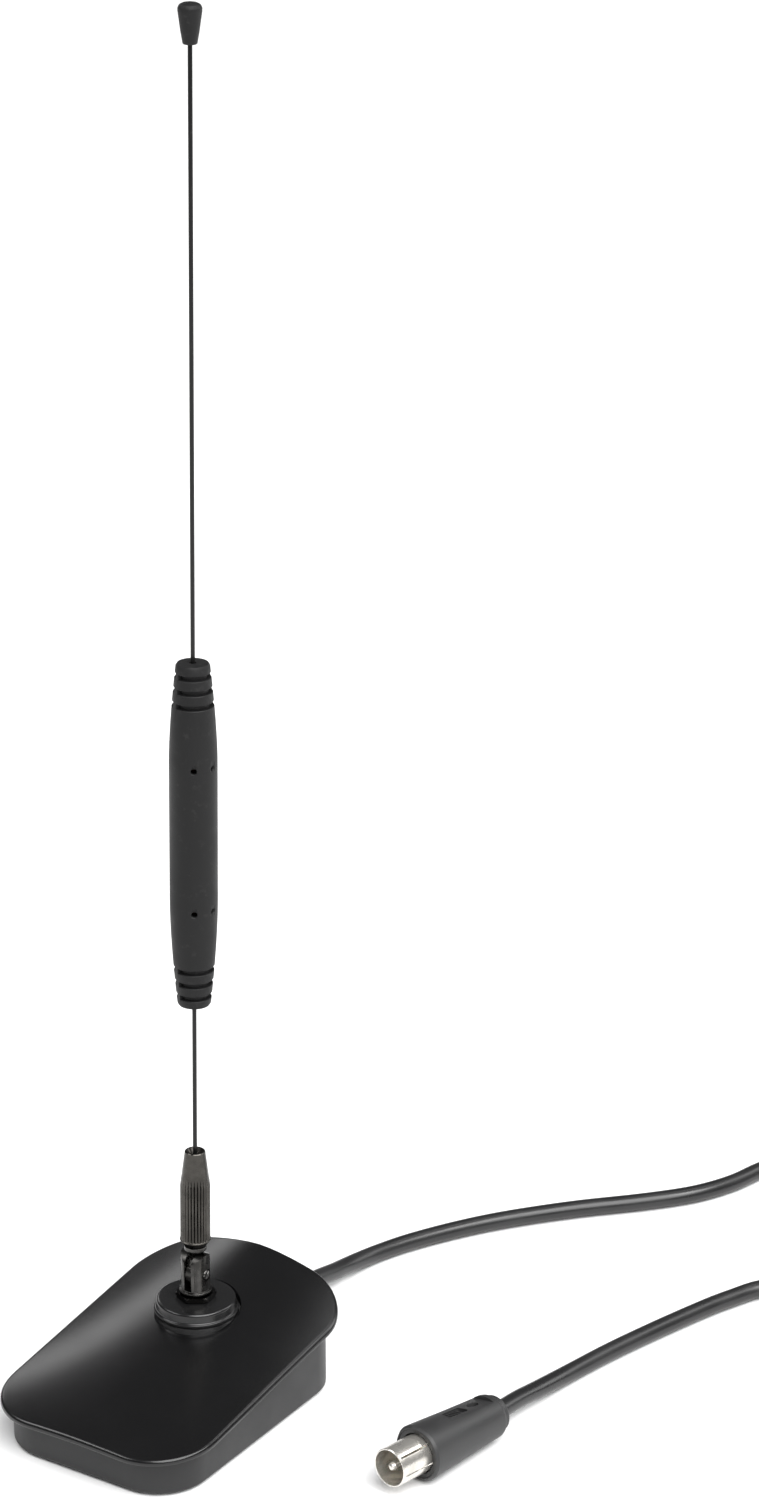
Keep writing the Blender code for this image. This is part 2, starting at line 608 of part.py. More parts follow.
def make_post():
    """Flange, clevis and riveted spigot in one piece; its ears are rounded about the pivot."""
    axis = (0, WHIP_Y, 0)
    flange_bottom = HEX_TOP + GAP
    blank_top = PIVOT_Z + EAR_TOP + 1.0
    profile = [
        (0, blank_top), (POST_RADIUS, blank_top), (POST_RADIUS, FLANGE_TOP),
        (FLANGE_RADIUS, FLANGE_TOP - 0.15),
        (FLANGE_RADIUS, flange_bottom), (1.2, flange_bottom), (1.2, STUD_BOTTOM - GAP),
        (2.0, STUD_BOTTOM - GAP), (2.0, STUD_BOTTOM - 0.9), (1.6, STUD_BOTTOM - 1.2), (0, STUD_BOTTOM - 1.2),
    ]
    post = turned("pivot_post", BLACK_NICKEL, profile, 32, at=axis)
    pivot = (0, WHIP_Y, PIVOT_Z)
    across = (0, 90, 0)
    ear_centre = PIVOT_Z + EAR_TOP - EAR_RADIUS
    cap_mask = [(9.0, 5.0), (9.0, -5.0), (EAR_RADIUS, -5.0), (EAR_RADIUS, 5.0)]
    above = turned("ear_rounding", None, cap_mask, 40, at=(0, WHIP_Y, ear_centre), turn=across)
    keep_below = block("below_ears", None, (24.0, 24.0, 12.0), at=(0, WHIP_Y, ear_centre - 6.0))
    cut(above, keep_below)
    cut(post, above)
    slot_height = 12.0
    slot_at = (0, WHIP_Y, SLOT_BOTTOM + slot_height / 2)
    cut(post, block("clevis_slot", None, (SLOT_WIDTH, 10.0, slot_height), at=slot_at))
    bore = [(0, 6), (1.5, 6), (1.5, 2.15), (0.95, 2.15), (0.95, -2.15), (1.5, -2.15), (1.5, -6), (0, -6)]
    cut(post, turned("pivot_bore", None, bore, 20, at=pivot, turn=across))
    pin = [(0, 3.5), (0.9, 3.5), (1.2, 3.25), (1.2, 2.45), (0.65, 2.45), (0.65, -3.4), (0, -3.4)]
    screw = turned("pivot_screw", BLACK_NICKEL, pin, SMALL_ROUND, at=pivot, turn=across)
    cut(screw, block("pivot_screw_slot", None, (0.8, 0.4, 3.0), at=(3.5, WHIP_Y, PIVOT_Z), turn=(-35, 0, 0)))
    nut = plate("pivot_nut", BLACK_NICKEL, polygon(6, 2.0), -3.05, -2.45, at=pivot, turn=across)
    cut(nut, cylinder("pivot_nut_bore", None, 0.8, -6, 6, 12, at=pivot, turn=across))


# ---------------------------------------------------------------- whip

def make_tongue(whip):
    """The flat tongue that tilts in the clevis, its round neck and the spigot inside the ferrule."""
    profile = [(0, 13.0), (1.7, 13.0), (1.7, FERRULE_BOTTOM - GAP), (NECK_RADIUS, FERRULE_BOTTOM - GAP)]
    profile += [(NECK_RADIUS, NECK_BOTTOM), (0, NECK_BOTTOM)]
    tongue = turned("whip_tongue", BLACK_NICKEL, profile, 24, parent=whip)
    half = TONGUE_THICKNESS / 2
    across = (0, 90, 0)
    disc = cylinder("tongue_eye", None, TONGUE_RADIUS, -half, half, 24, parent=whip, turn=across)
    web_height = NECK_BOTTOM + 0.6
    web_size = (TONGUE_THICKNESS, 2 * NECK_RADIUS - 0.6, web_height)
    web = block("tongue_web", None, web_size, parent=whip, at=(0, 0, web_height / 2))
    join(tongue, disc, web)
    cut(tongue, cylinder("tongue_hole", None, 0.95, -3, 3, 20, parent=whip, turn=across))


def make_ferrule(whip):
    bore = ROD_RADIUS + GAP
    rim_bottom = FLUTE_BOTTOM - 0.35
    profile = [
        (bore, FERRULE_TOP - 1.7), (2.0, FERRULE_TOP), (FERRULE_TIP_RADIUS - 0.15, FERRULE_TOP),
        (FERRULE_TIP_RADIUS, FERRULE_TOP - 0.15), (FERRULE_RADIUS, FERRULE_CONE),
        (FERRULE_RADIUS, FLUTE_BOTTOM + 0.1), (FERRULE_RIM_RADIUS, FLUTE_BOTTOM),
        (FERRULE_RIM_RADIUS, rim_bottom), (3.45, rim_bottom - 0.05), (2.95, FERRULE_BOTTOM + 0.1),
        (2.8, FERRULE_BOTTOM), (2.0, FERRULE_BOTTOM), (2.0, 14.0), (bore, 14.0),
    ]
    turned("ferrule", BLACK_NICKEL, profile, 32, parent=whip)


def make_rods(whip):
    bore = ROD_RADIUS + GAP
    cap_socket = CAP_TOP - 2.7
    cylinder("lower_rod", LACQUERED_ROD, ROD_RADIUS, 14.3, COIL_CAVITY[0] + 1.5, 12, parent=whip)
    cylinder("upper_rod", LACQUERED_ROD, ROD_RADIUS, COIL_CAVITY[1] - 1.5, cap_socket - GAP, 12, parent=whip)
    profile = [
        (bore, CAP_BOTTOM), (1.5, CAP_BOTTOM), (1.8, CAP_BOTTOM + 0.5), (2.14, CAP_BOTTOM + 3.0),
        (2.43, CAP_BOTTOM + 5.2), (2.78, CAP_BOTTOM + 7.4), (2.5, CAP_BOTTOM + 8.4), (1.5, CAP_TOP - 0.2),
        (0, CAP_TOP), (0, cap_socket), (bore, cap_socket),
    ]
    turned("end_cap", MOULDED, profile, 24, parent=whip)


def sleeve_radius(height):
    """The coil housing's outer radius: nearly straight, closing in smoothly at both ends."""
    low = (height - COIL_BOTTOM) / 26.0
    high = (COIL_TOP - height) / 24.0
    end = min(low, high, 1.0)
    return COIL_RADIUS - (COIL_RADIUS - 3.95) * (1 - end) ** 1.6


def make_coil_housing(whip):
    """The moulded cover of the loading coil, with three flexing grooves at each end."""
    bore = ROD_RADIUS + GAP
    cavity = 3.8
    cavity_bottom, cavity_top = COIL_CAVITY
    grooves = [start + GROOVE_PITCH * i for start in (LOWER_GROOVE, UPPER_GROOVE) for i in range(3)]
    end_radius = sleeve_radius(COIL_BOTTOM)
    profile = [(end_radius - 0.3, COIL_BOTTOM), (end_radius, COIL_BOTTOM + 0.3)]
    for i, bottom in enumerate(grooves):
        if i == 3:
            profile += [(sleeve_radius(height), height) for height in (84, 88, 93, 97, 132, 136, 140, 143.5)]
        top = bottom + GROOVE_WIDTH
        deep = sleeve_radius(bottom + GROOVE_WIDTH / 2) - GROOVE_DEPTH
        profile += [(sleeve_radius(bottom), bottom), (deep, bottom), (deep, top), (sleeve_radius(top), top)]
    profile += [(sleeve_radius(COIL_TOP), COIL_TOP - 0.3), (sleeve_radius(COIL_TOP) - 0.3, COIL_TOP)]
    profile += [(bore, COIL_TOP), (bore, cavity_top + 2.0), (cavity, cavity_top), (cavity, cavity_bottom)]
    profile += [(bore, cavity_bottom - 2.0), (bore, COIL_BOTTOM)]
    housing = turned("coil_housing", MOULDED, profile, 24, parent=whip)
    rib_size = (1.4, 1.2, 2 * GROOVE_PITCH + GROOVE_WIDTH + 0.8)
    spin = math.radians(RIB_AZIMUTH)
    for end, first_groove in (("lower", LOWER_GROOVE), ("upper", UPPER_GROOVE)):
        middle = first_groove + GROOVE_PITCH + GROOVE_WIDTH / 2
        for side in (-1, 1):
            offset = 3.05 * side
            at = (offset * math.cos(spin), offset * math.sin(spin), middle)
            name = f"{end}_rib_{side + 2}"
            join(housing, block(name, None, rib_size, parent=whip, at=at, turn=(0, 0, RIB_AZIMUTH)))
    for level, height in zip(("lower", "upper"), PIN_HOLES):
        for side in (-1, 1):
            across = (0, 90, RIB_AZIMUTH + 90 + side * 27)
            name = f"{level}_pin_hole_{side + 2}"
            at = (0, 0, height)
            cut(housing, cylinder(name, None, 0.75, -8, 8, 10, parent=whip, at=at, turn=across))


def make_loading_coil(whip):
    """The winding on its former, closed inside the housing."""
    end_gap = 1.8
    former_bottom = COIL_CAVITY[0] + end_gap
    former_top = COIL_CAVITY[1] - end_gap
    cylinder("coil_former", INSULATOR, 2.5, former_bottom, former_top, SMALL_ROUND, parent=whip)
    bottom = former_bottom + 2.2
    top = former_top - 2.2
    winding = [(3.4, top), (3.4, bottom), (2.8, bottom), (2.8, top)]
    turned("loading_coil", COPPER, winding, 20, parent=whip)


# ---------------------------------------------------------------- lead and plug

def on_facet(lift, height):
    """A place this far from the plug's axis, on the side that the grip's facet faces."""
    turn = math.radians(FACET_TURN)
    return (lift * math.sin(turn), -lift * math.cos(turn), height)


def make_plug():
    plug = make_empty("plug_frame", PLUG_TIP, PLUG_TURN)
    ring = PLUG_LENGTH - 1.7
    grip = [
        (0, PLUG_LENGTH), (4.2, PLUG_LENGTH), (4.6, PLUG_LENGTH - 0.4), (4.6, ring), (5.2, ring - 0.2),
        (5.55, ring - 1.0), (7.0, 10.2), (6.6, 9.4), (SLEEVE_OUTER + GAP, 9.4),
        (SLEEVE_OUTER + GAP, 15.3), (0, 15.3),
    ]
    body = turned("plug_grip", MOULDED, grip, 32, parent=plug)
    along_taper = (-GRIP_TAPER, 0, FACET_TURN)
    facet_size = (10.0, 4.0, 15.0)
    window_size = (3.8, 2.6, 7.4)
    facet_at = on_facet(6.95, 27.0)
    window_at = on_facet(5.2, 23.4)
    cut(body, block("grip_facet", None, facet_size, parent=plug, at=facet_at, turn=along_taper))
    cut(body, block("grip_window", None, window_size, parent=plug, at=window_at, turn=along_taper))
    sleeve = [(SLEEVE_OUTER, 15.0), (SLEEVE_OUTER, 0.2), (SLEEVE_OUTER - 0.15, 0)]
    sleeve += [(SLEEVE_INNER, 0), (SLEEVE_INNER, 15.0)]
    turned("plug_sleeve", BRIGHT_NICKEL, sleeve, 32, parent=plug)
    holder = [(SLEEVE_INNER - GAP, 15.0), (SLEEVE_INNER - GAP, 8.5), (1.15 + GAP, 8.5), (1.15 + GAP, 15.0)]
    turned("plug_insulator", INSULATOR, holder, 20, parent=plug)
    pin = [(0, 15.0), (1.15, 15.0), (1.15, 1.2), (0.7, 0.6), (0, 0.4)]
    turned("plug_pin", BRIGHT_NICKEL, pin, SMALL_ROUND, parent=plug)


def make_lead():
    rear = Vector((0, 0, PLUG_LENGTH + GAP))
    rear.rotate(Euler([math.radians(angle) for angle in PLUG_TURN]))
    to_plug = ROUTE_TO_PLUG + [tuple(Vector(PLUG_TIP) + rear)]
    spacing = 2.6 * 2 * CABLE_RADIUS
    tube("cable_from_base", JACKET, smooth_path(ROUTE_FROM_BASE, spacing), CABLE_RADIUS, sides=2)
    tube("cable_to_plug", JACKET, smooth_path(to_plug, spacing), CABLE_RADIUS, sides=2)
    spread = (COIL_COLUMNS - 1) / 2 * COIL_PITCH + CABLE_RADIUS
    inner = COIL_MEAN_RADIUS - spread
    outer = COIL_MEAN_RADIUS + spread
    top = COIL_FLOOR + 2 * CABLE_RADIUS + (COIL_LAYERS - 1) * COIL_PITCH
    edge = 1.5
    profile = [
        (inner + edge, top), (outer - edge, top), (outer, top - edge), (outer, COIL_FLOOR + edge),
        (outer - edge, COIL_FLOOR), (inner + edge, COIL_FLOOR), (inner, COIL_FLOOR + edge),
        (inner, top - edge),
    ]
    turned("cable_coil", JACKET, profile, 36, at=(*COIL_CENTRE, 0))
    make_tie(inner, outer, top)


def make_tie(inner, outer, top):
    """A strap around the coil's bundle, on the side away from the lead's two ends."""
    bulge = 1.2  # room for the coil's round sides inside the straight strap
    width = outer - inner + 2 * GAP + bulge
    height = top - COIL_FLOOR + 2 * GAP
    angle = math.radians(TIE_AZIMUTH)
    at_x = COIL_CENTRE[0] + COIL_MEAN_RADIUS * math.cos(angle)
    at_y = COIL_CENTRE[1] + COIL_MEAN_RADIUS * math.sin(angle)
    at = (at_x, at_y, (top + COIL_FLOOR) / 2)
    turn = (0, 0, TIE_AZIMUTH)
    walls = 2 * TIE_THICKNESS
    strap = block("coil_tie", RUBBER, (width + walls, TIE_WIDTH, height + walls), at=at, turn=turn)
    cut(strap, block("tie_opening", None, (width, TIE_WIDTH + 2.0, height), at=at, turn=turn))


clear_objects()
PARTS = make_collection("indoor_aerial")
CUTTERS = make_collection("cutters")
make_housing()
make_lid()
make_foot()
make_fasteners()
make_board()
make_lead_entry()
make_collar()
make_swivel()
make_post()
whip_frame = make_empty("whip_frame", (0, WHIP_Y, PIVOT_Z), (-WHIP_LEAN, 0, 0))
make_tongue(whip_frame)
make_ferrule(whip_frame)
make_rods(whip_frame)
make_coil_housing(whip_frame)
make_loading_coil(whip_frame)
make_plug()
make_lead()
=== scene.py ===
"""Looks of the indoor rod aerial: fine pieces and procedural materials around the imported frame.

Lengths are in millimetres. MM turns them into metres where a mesh is made or a piece is placed.
"""

import math

import bmesh
import bpy
from mathutils import Matrix, Vector


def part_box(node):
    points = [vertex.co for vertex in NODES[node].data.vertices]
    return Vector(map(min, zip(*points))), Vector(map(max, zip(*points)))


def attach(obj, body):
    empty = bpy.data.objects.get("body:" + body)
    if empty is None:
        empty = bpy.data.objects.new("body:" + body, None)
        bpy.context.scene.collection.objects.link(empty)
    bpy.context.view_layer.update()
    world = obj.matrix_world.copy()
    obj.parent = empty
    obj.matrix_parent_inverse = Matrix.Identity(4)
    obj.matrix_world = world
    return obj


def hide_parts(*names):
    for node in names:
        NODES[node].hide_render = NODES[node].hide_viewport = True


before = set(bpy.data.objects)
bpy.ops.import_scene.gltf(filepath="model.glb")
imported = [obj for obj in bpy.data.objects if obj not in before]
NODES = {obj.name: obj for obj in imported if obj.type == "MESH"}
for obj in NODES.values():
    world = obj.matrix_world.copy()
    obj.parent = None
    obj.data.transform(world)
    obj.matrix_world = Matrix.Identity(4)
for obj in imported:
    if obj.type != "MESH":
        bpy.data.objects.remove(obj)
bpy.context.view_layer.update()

MM = 0.001
# Top of the ferrule's smooth ring, above the pivot: its shape changes here, and painted shade darkens the
# ring below it
FLUTE_BOTTOM = 9.2


def span(node):
    """A CAD node's lowest and highest corners, in millimetres."""
    low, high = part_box(node)
    return low / MM, high / MM


def middle(node):
    low, high = span(node)
    return (low + high) / 2


# ------------------------------ materials

class Look:
    """A Principled material and the few node groups that its details are made from."""

    def __init__(self, name, colour, roughness, metallic=0.0, **sockets):
        self.material = bpy.data.materials.new(name)
        self.material.use_nodes = True
        self.tree = self.material.node_tree
        self.shader = self.tree.nodes["Principled BSDF"]
        self.colour = (*colour, 1.0)
        self.set(self.shader, "Base Color", self.colour)
        self.set(self.shader, "Roughness", roughness)
        self.set(self.shader, "Metallic", metallic)
        for socket, value in sockets.items():
            self.set(self.shader, socket.replace("_", " "), value)
        self.coordinates = self.tree.nodes.new("ShaderNodeTexCoord").outputs["Object"]
        self.normal = None

    def set(self, node, socket, value):
        if hasattr(value, "is_linked"):
            self.tree.links.new(value, node.inputs[socket])
        else:
            node.inputs[socket].default_value = value

    def node(self, kind, output, **inputs):
        node = self.tree.nodes.new(kind)
        for socket, value in inputs.items():
            self.set(node, socket.replace("_", " "), value)
        return node.outputs[output]

    def stretched(self, scale, offset=0.0):
        """Object coordinates in millimetres, scaled along each axis and shifted."""
        factor = tuple(s / MM for s in scale)
        shift = (offset,) * 3
        return self.node("ShaderNodeMapping", "Vector", Vector=self.coordinates, Scale=factor, Location=shift)

    def noise(self, size, detail=3.0, roughness=0.5, stretch=(1, 1, 1), offset=0.0):
        """Noise whose blotches are about size millimetres across."""
        place = self.stretched(tuple(s / size for s in stretch), offset)
        settings = {"Scale": 1.0, "Detail": detail, "Roughness": roughness}
        return self.node("ShaderNodeTexNoise", "Fac", Vector=place, **settings)

    def cells(self, size, feature="F1"):
        """Distance from the middle, or from the edge, of cells that are size millimetres across."""
        node = self.tree.nodes.new("ShaderNodeTexVoronoi")
        node.feature = feature
        self.set(node, "Vector", self.stretched((1 / size,) * 3))
        self.set(node, "Scale", 1.0)
        return node.outputs["Distance"]

    def ramp(self, value, low, high, start=0.0, end=1.0):
        """Map a value from low..high onto start..end, clamped."""
        node = self.tree.nodes.new("ShaderNodeMapRange")
        node.interpolation_type = "SMOOTHSTEP"
        self.set(node, "Value", value)
        for socket, number in zip(("From Min", "From Max", "To Min", "To Max"), (low, high, start, end)):
            self.set(node, socket, number)
        return node.outputs["Result"]

    def maths(self, operation, a, b):
        node = self.tree.nodes.new("ShaderNodeMath")
        node.operation = operation
        self.set(node, 0, a)
        self.set(node, 1, b)
        return node.outputs["Value"]

    def mix(self, factor, a, b):
        node = self.tree.nodes.new("ShaderNodeMix")
        node.data_type = "RGBA"
        self.set(node, 0, factor)
        self.set(node, 6, a if hasattr(a, "is_linked") else (*a[:3], 1.0))
        self.set(node, 7, b if hasattr(b, "is_linked") else (*b[:3], 1.0))
        return node.outputs[2]

    def bump(self, height, depth):
        """Add relief of this depth in millimetres."""
        inputs = {"Height": height, "Distance": depth * MM, "Strength": 1.0}
        if self.normal is not None:
            inputs["Normal"] = self.normal
        self.normal = self.node("ShaderNodeBump", "Normal", **inputs)
        self.set(self.shader, "Normal", self.normal)

    def tint(self, factor, colour):
        """Blend another colour in where the factor is 1."""
        linked = self.shader.inputs["Base Color"].links
        base = linked[0].from_socket if linked else self.colour
        self.set(self.shader, "Base Color", self.mix(factor, base, colour))

    def vary_roughness(self, factor, low, high):
        """Spread the roughness from low to high over the middle of the factor's range."""
        self.set(self.shader, "Roughness", self.ramp(factor, 0.3, 0.7, low, high))


def lighter(colour, factor):
    return tuple(min(c * factor, 1.0) for c in colour)


def moulded(name, colour, roughness, grain=0.3, depth=0.012, spread=0.08, wear=1.0, **sockets):
    """Injection-moulded plastic: spark grain, broad sheen and a little dust."""
    look = Look(name, colour, roughness, **sockets)
    fine = look.noise(grain, detail=4.0, roughness=0.6)
    broad = look.noise(9.0, detail=2.0, offset=3.7)
    dust = look.ramp(look.noise(1.6, detail=5.0, roughness=0.7, offset=9.1), 0.62, 0.8)
    look.tint(look.ramp(broad, 0.3, 0.75), lighter(colour, 1 + 0.25 * wear))
    look.tint(look.maths("MULTIPLY", dust, 0.18 * wear), lighter(colour, 3.0))
    look.vary_roughness(broad, roughness - spread / 2, roughness + spread / 2)
    look.bump(fine, depth)
    return look


def plated(name, colour, roughness, depth, stretch=(1, 1, 9), size=0.5, metallic=1.0):
    """Plated metal: fine turning or drawing lines, a cloudy film and small marks."""
    look = Look(name, colour, roughness, metallic)
    lines = look.noise(size, detail=3.0, roughness=0.7, stretch=stretch)
    film = look.noise(3.5, detail=3.0, offset=5.3)
    marks = look.ramp(look.noise(0.7, detail=6.0, roughness=0.75, offset=1.9), 0.66, 0.78)
    look.tint(look.ramp(film, 0.3, 0.75), lighter(colour, 0.72))
    look.tint(look.maths("MULTIPLY", marks, 0.4), lighter(colour, 0.45))
    look.vary_roughness(film, roughness * 0.75, roughness * 1.35)
    look.bump(lines, depth)
    return look


def lid_plastic():
    colour = (0.004, 0.004, 0.0042)
    return moulded("lid_plastic", colour, 0.23, grain=0.28, depth=0.002, spread=0.015, wear=0.4)


def housing_plastic():
    return moulded("housing_plastic", (0.0145, 0.0145, 0.015), 0.47, Specular_IOR_Level=0.38)


def grip_plastic():
    return moulded("grip_plastic", (0.022, 0.022, 0.0224), 0.48)


def gloss_plastic():
    """The collar's polished plastic, with fine scuffs."""
    look = moulded("gloss_plastic", (0.008, 0.008, 0.0082), 0.2, depth=0.003, spread=0.03, wear=0.5)
    scuffs = look.noise(0.25, detail=2.0, stretch=(1, 14, 1), offset=2.2)
    look.bump(look.ramp(scuffs, 0.66, 0.74), 0.001)
    return look


def matt_moulding():
    """Soft black moulding with coarser grain and rubbed patches."""
    colour = (0.006, 0.006, 0.0062)
    look = moulded("matt_moulding", colour, 0.55, grain=0.22, depth=0.02, spread=0.1, Specular_IOR_Level=0.28)
    rubbed = look.ramp(look.noise(2.2, detail=5.0, roughness=0.65, offset=6.6), 0.55, 0.72)
    look.tint(look.maths("MULTIPLY", rubbed, 0.35), (0.03, 0.0295, 0.029))
    return look


def jacket():
    look = Look("cable_jacket", (0.0125, 0.0125, 0.0128), 0.32)
    broad = look.noise(14.0, detail=2.0)
    fine = look.noise(0.5, detail=4.0, roughness=0.6, offset=4.4)
    look.tint(look.ramp(broad, 0.35, 0.7), (0.018, 0.018, 0.0184))
    look.vary_roughness(broad, 0.27, 0.36)
    look.bump(fine, 0.006)
    return look


def foot_rubber():
    look = Look("foot_rubber", (0.022, 0.022, 0.022), 0.75)
    studs = look.cells(1.1)
    worn = look.noise(6.0, detail=4.0, offset=8.0)
    look.tint(look.ramp(worn, 0.5, 0.75), (0.05, 0.049, 0.047))
    look.vary_roughness(worn, 0.68, 0.85)
    look.bump(look.ramp(studs, 0.15, 0.45, 1.0, 0.0), 0.12)
    return look


def lacquered_rod():
    look = Look("lacquered_rod", (0.006, 0.006, 0.006), 0.3, Specular_IOR_Level=0.3)
    drawn = look.noise(0.25, detail=3.0, stretch=(1, 1, 0.06))
    scuff = look.ramp(look.noise(1.8, detail=6.0, roughness=0.7, stretch=(1, 1, 0.25), offset=7.7), 0.6, 0.72)
    look.tint(look.maths("MULTIPLY", scuff, 0.4), (0.03, 0.029, 0.027))
    look.vary_roughness(scuff, 0.28, 0.5)
    look.bump(drawn, 0.004)
    return look


def dark_bronze():
    """Turned and lacquered; painted shade darkens the smooth ring under the flutes, which would otherwise
    reflect the bright floor.
    """
    look = plated("dark_bronze", (0.072, 0.068, 0.062), 0.26, 0.0003, stretch=(1, 1, 0.2))
    height = look.node("ShaderNodeSeparateXYZ", "Z", Vector=look.coordinates)
    # painted shade on the smooth ring below the flutes, standing in for less floor reflection
    ring = look.ramp(height, (FLUTE_BOTTOM - 0.6) * MM, (FLUTE_BOTTOM - 0.4) * MM, 1.0, 0.0)
    look.tint(ring, (0.034, 0.032, 0.030))
    return look


def ferrite():
    look = Look("ferrite", (0.035, 0.035, 0.038), 0.6)
    grains = look.noise(0.4, detail=6.0, roughness=0.8)
    look.tint(look.ramp(grains, 0.55, 0.7), (0.09, 0.09, 0.095))
    look.vary_roughness(grains, 0.45, 0.75)
    look.bump(grains, 0.04)
    return look


def laminate():
    """Green solder mask over copper tracks, with a woven glass ground."""
    look = Look("laminate", (0.012, 0.10, 0.035), 0.4, Coat_Weight=0.5, Coat_Roughness=0.15)
    tracks = look.ramp(look.cells(2.6, feature="DISTANCE_TO_EDGE"), 0.05, 0.09, 1.0, 0.0)
    weave = look.noise(0.5, detail=1.0, stretch=(1, 5, 1))
    look.tint(tracks, (0.03, 0.21, 0.07))
    look.vary_roughness(weave, 0.32, 0.5)
    look.bump(tracks, 0.03)
    look.bump(weave, 0.01)
    return look


def bright_nickel():
    colour = (0.86, 0.83, 0.77)
    return plated("bright_nickel", colour, 0.22, 0.0012, stretch=(1, 1, 1), size=0.35, metallic=0.85)


def wire(name, colour, roughness):
    return plated(name, colour, roughness, 0.01, stretch=(0.4, 0.4, 3.0), size=0.4)


def copper():
    look = wire("copper", (0.80, 0.36, 0.18), 0.28)
    oxide = look.ramp(look.noise(1.3, detail=5.0, offset=2.9), 0.5, 0.7)
    look.tint(look.maths("MULTIPLY", oxide, 0.5), (0.30, 0.10, 0.05))
    return look


def insulator():
    look = Look("insulator", (0.62, 0.58, 0.50), 0.42, Subsurface_Weight=0.15, Subsurface_Scale=0.002)
    specks = look.noise(0.8, detail=5.0, offset=5.0)
    look.tint(look.ramp(specks, 0.45, 0.8), (0.50, 0.45, 0.36))
    look.vary_roughness(specks, 0.36, 0.52)
    look.bump(specks, 0.01)
    return look


LOOKS = {
    "lid": lid_plastic(),
    "housing": housing_plastic(),
    "gloss": gloss_plastic(),
    "matt": matt_moulding(),
    "rubber": foot_rubber(),
    "jacket": jacket(),
    "rod": lacquered_rod(),
    "grip": grip_plastic(),
    "bronze": dark_bronze(),
    "gunmetal": plated("black_nickel", (0.075, 0.073, 0.070), 0.27, 0.0006),
    "screw": plated("screw_nickel", (0.10, 0.098, 0.095), 0.2, 0.0008),
    "black_metal": plated("blackened_metal", (0.025, 0.024, 0.023), 0.22, 0.001),
    "nickel": bright_nickel(),
    "zinc": plated("zinc_steel", (0.52, 0.53, 0.55), 0.34, 0.004),
    "ferrite": ferrite(),
    "laminate": laminate(),
    "copper": copper(),
    "enamel": wire("enamelled_wire", (0.05, 0.018, 0.010), 0.4),
    "insulator": insulator(),
}


# ------------------------------ mesh helpers

def shade(obj, sharp):
    """Shade a piece smooth, with creases where its faces meet at more than this angle."""
    obj.data.shade_smooth()
    obj.data.set_sharp_from_angle(angle=math.radians(sharp))


def finish_mesh(shape, name, look, sharp=32.0):
    """Turn a bmesh in millimetres into a smooth-shaded piece."""
    bmesh.ops.recalc_face_normals(shape, faces=shape.faces)
    bmesh.ops.scale(shape, vec=(MM, MM, MM), verts=shape.verts)
    mesh = bpy.data.meshes.new(name)
    shape.to_mesh(mesh)
    shape.free()
    mesh.materials.append(LOOKS[look].material)
    obj = bpy.data.objects.new(name, mesh)
    bpy.context.scene.collection.objects.link(obj)
    shade(obj, sharp)
    return obj


def skin(shape, rings, along):
    """Join equal closed rings of points with quads; along joins the last ring to the first."""
    rows = [[shape.verts.new(point) for point in ring] for ring in rings]
    pairs = list(zip(rows, rows[1:]))
    if along:
        pairs.append((rows[-1], rows[0]))
    for row, following in pairs:
        for i in range(len(row)):
            j = (i + 1) % len(row)
            shape.faces.new((row[i], row[j], following[j], following[i]))
    return rows


def rounded(profile, radius, steps=5):
    """Round the corners of an open (radius, height) profile, all by one radius or each by its own."""
    shortest = 0.004
    straight = math.radians(176)
    radii = radius if isinstance(radius, (list, tuple)) else [radius] * (len(profile) - 2)
    result = [profile[0]]
    for before, corner, after, size in zip(profile, profile[1:], profile[2:], radii):
        here = Vector(corner)
        back = Vector(before) - here
        ahead = Vector(after) - here
        bend = back.angle(ahead)
        reach = size / math.tan(bend / 2) if size else 0.0
        reach = min(reach, back.length * 0.49, ahead.length * 0.49)
        if reach < shortest or bend > straight:
            result.append(corner)
            continue
        start = here + back.normalized() * reach
        end = here + ahead.normalized() * reach
        for step in range(steps + 1):
            t = step / steps
            point = start * (1 - t) ** 2 + here * 2 * t * (1 - t) + end * t * t
            result.append(tuple(point))
    result.append(profile[-1])
    return result


def turned(name, look, profile, steps=64, sharp=32.0, swell=None):
    """A turned piece whose (radius, height) profile starts and ends on the axis, or closes on itself.

    swell(angle, radius, height) may give another radius, for flutes, flats and ribs.
    """
    shape = bmesh.new()
    closed = profile[0][0] > 0 or profile[-1][0] > 0
    inner = profile if closed else profile[1:-1]
    angles = [2 * math.pi * i / steps for i in range(steps)]
    rings = []
    for r, z in inner:
        reach = [swell(a, r, z) if swell else r for a in angles]
        rings.append([(s * math.cos(a), s * math.sin(a), z) for s, a in zip(reach, angles)])
    rows = skin(shape, rings, along=closed)
    if not closed:
        for row, (_, height) in ((rows[0], profile[0]), (rows[-1], profile[-1])):
            centre = shape.verts.new((0, 0, height))
            for i in range(steps):
                shape.faces.new((row[i], row[(i + 1) % steps], centre))
    return finish_mesh(shape, name, look, sharp)


def lofted(name, look, rings, along=False, sharp=32.0):
    """A piece through rings of points, which is capped unless its last ring joins its first."""
    shape = bmesh.new()
    rows = skin(shape, rings, along=along)
    if not along:
        shape.faces.new(rows[0])
        shape.faces.new(rows[-1])
    return finish_mesh(shape, name, look, sharp)


def block(name, look, size):
    shape = bmesh.new()
    bmesh.ops.create_cube(shape, size=1)
    bmesh.ops.scale(shape, vec=size, verts=shape.verts)
    return finish_mesh(shape, name, look)


def put(obj, at=(0, 0, 0), turn=(0, 0, 0), on=None):
    """Place a piece in millimetres and degrees, within a frame if one is given."""
    spin = [math.radians(angle) for angle in turn]
    local = Matrix.Translation(Vector(at) * MM)
    local = local @ Matrix.Rotation(spin[2], 4, "Z") @ Matrix.Rotation(spin[1], 4, "Y")
    local = local @ Matrix.Rotation(spin[0], 4, "X")
    obj.matrix_world = (on or Matrix.Identity(4)) @ local
    return obj


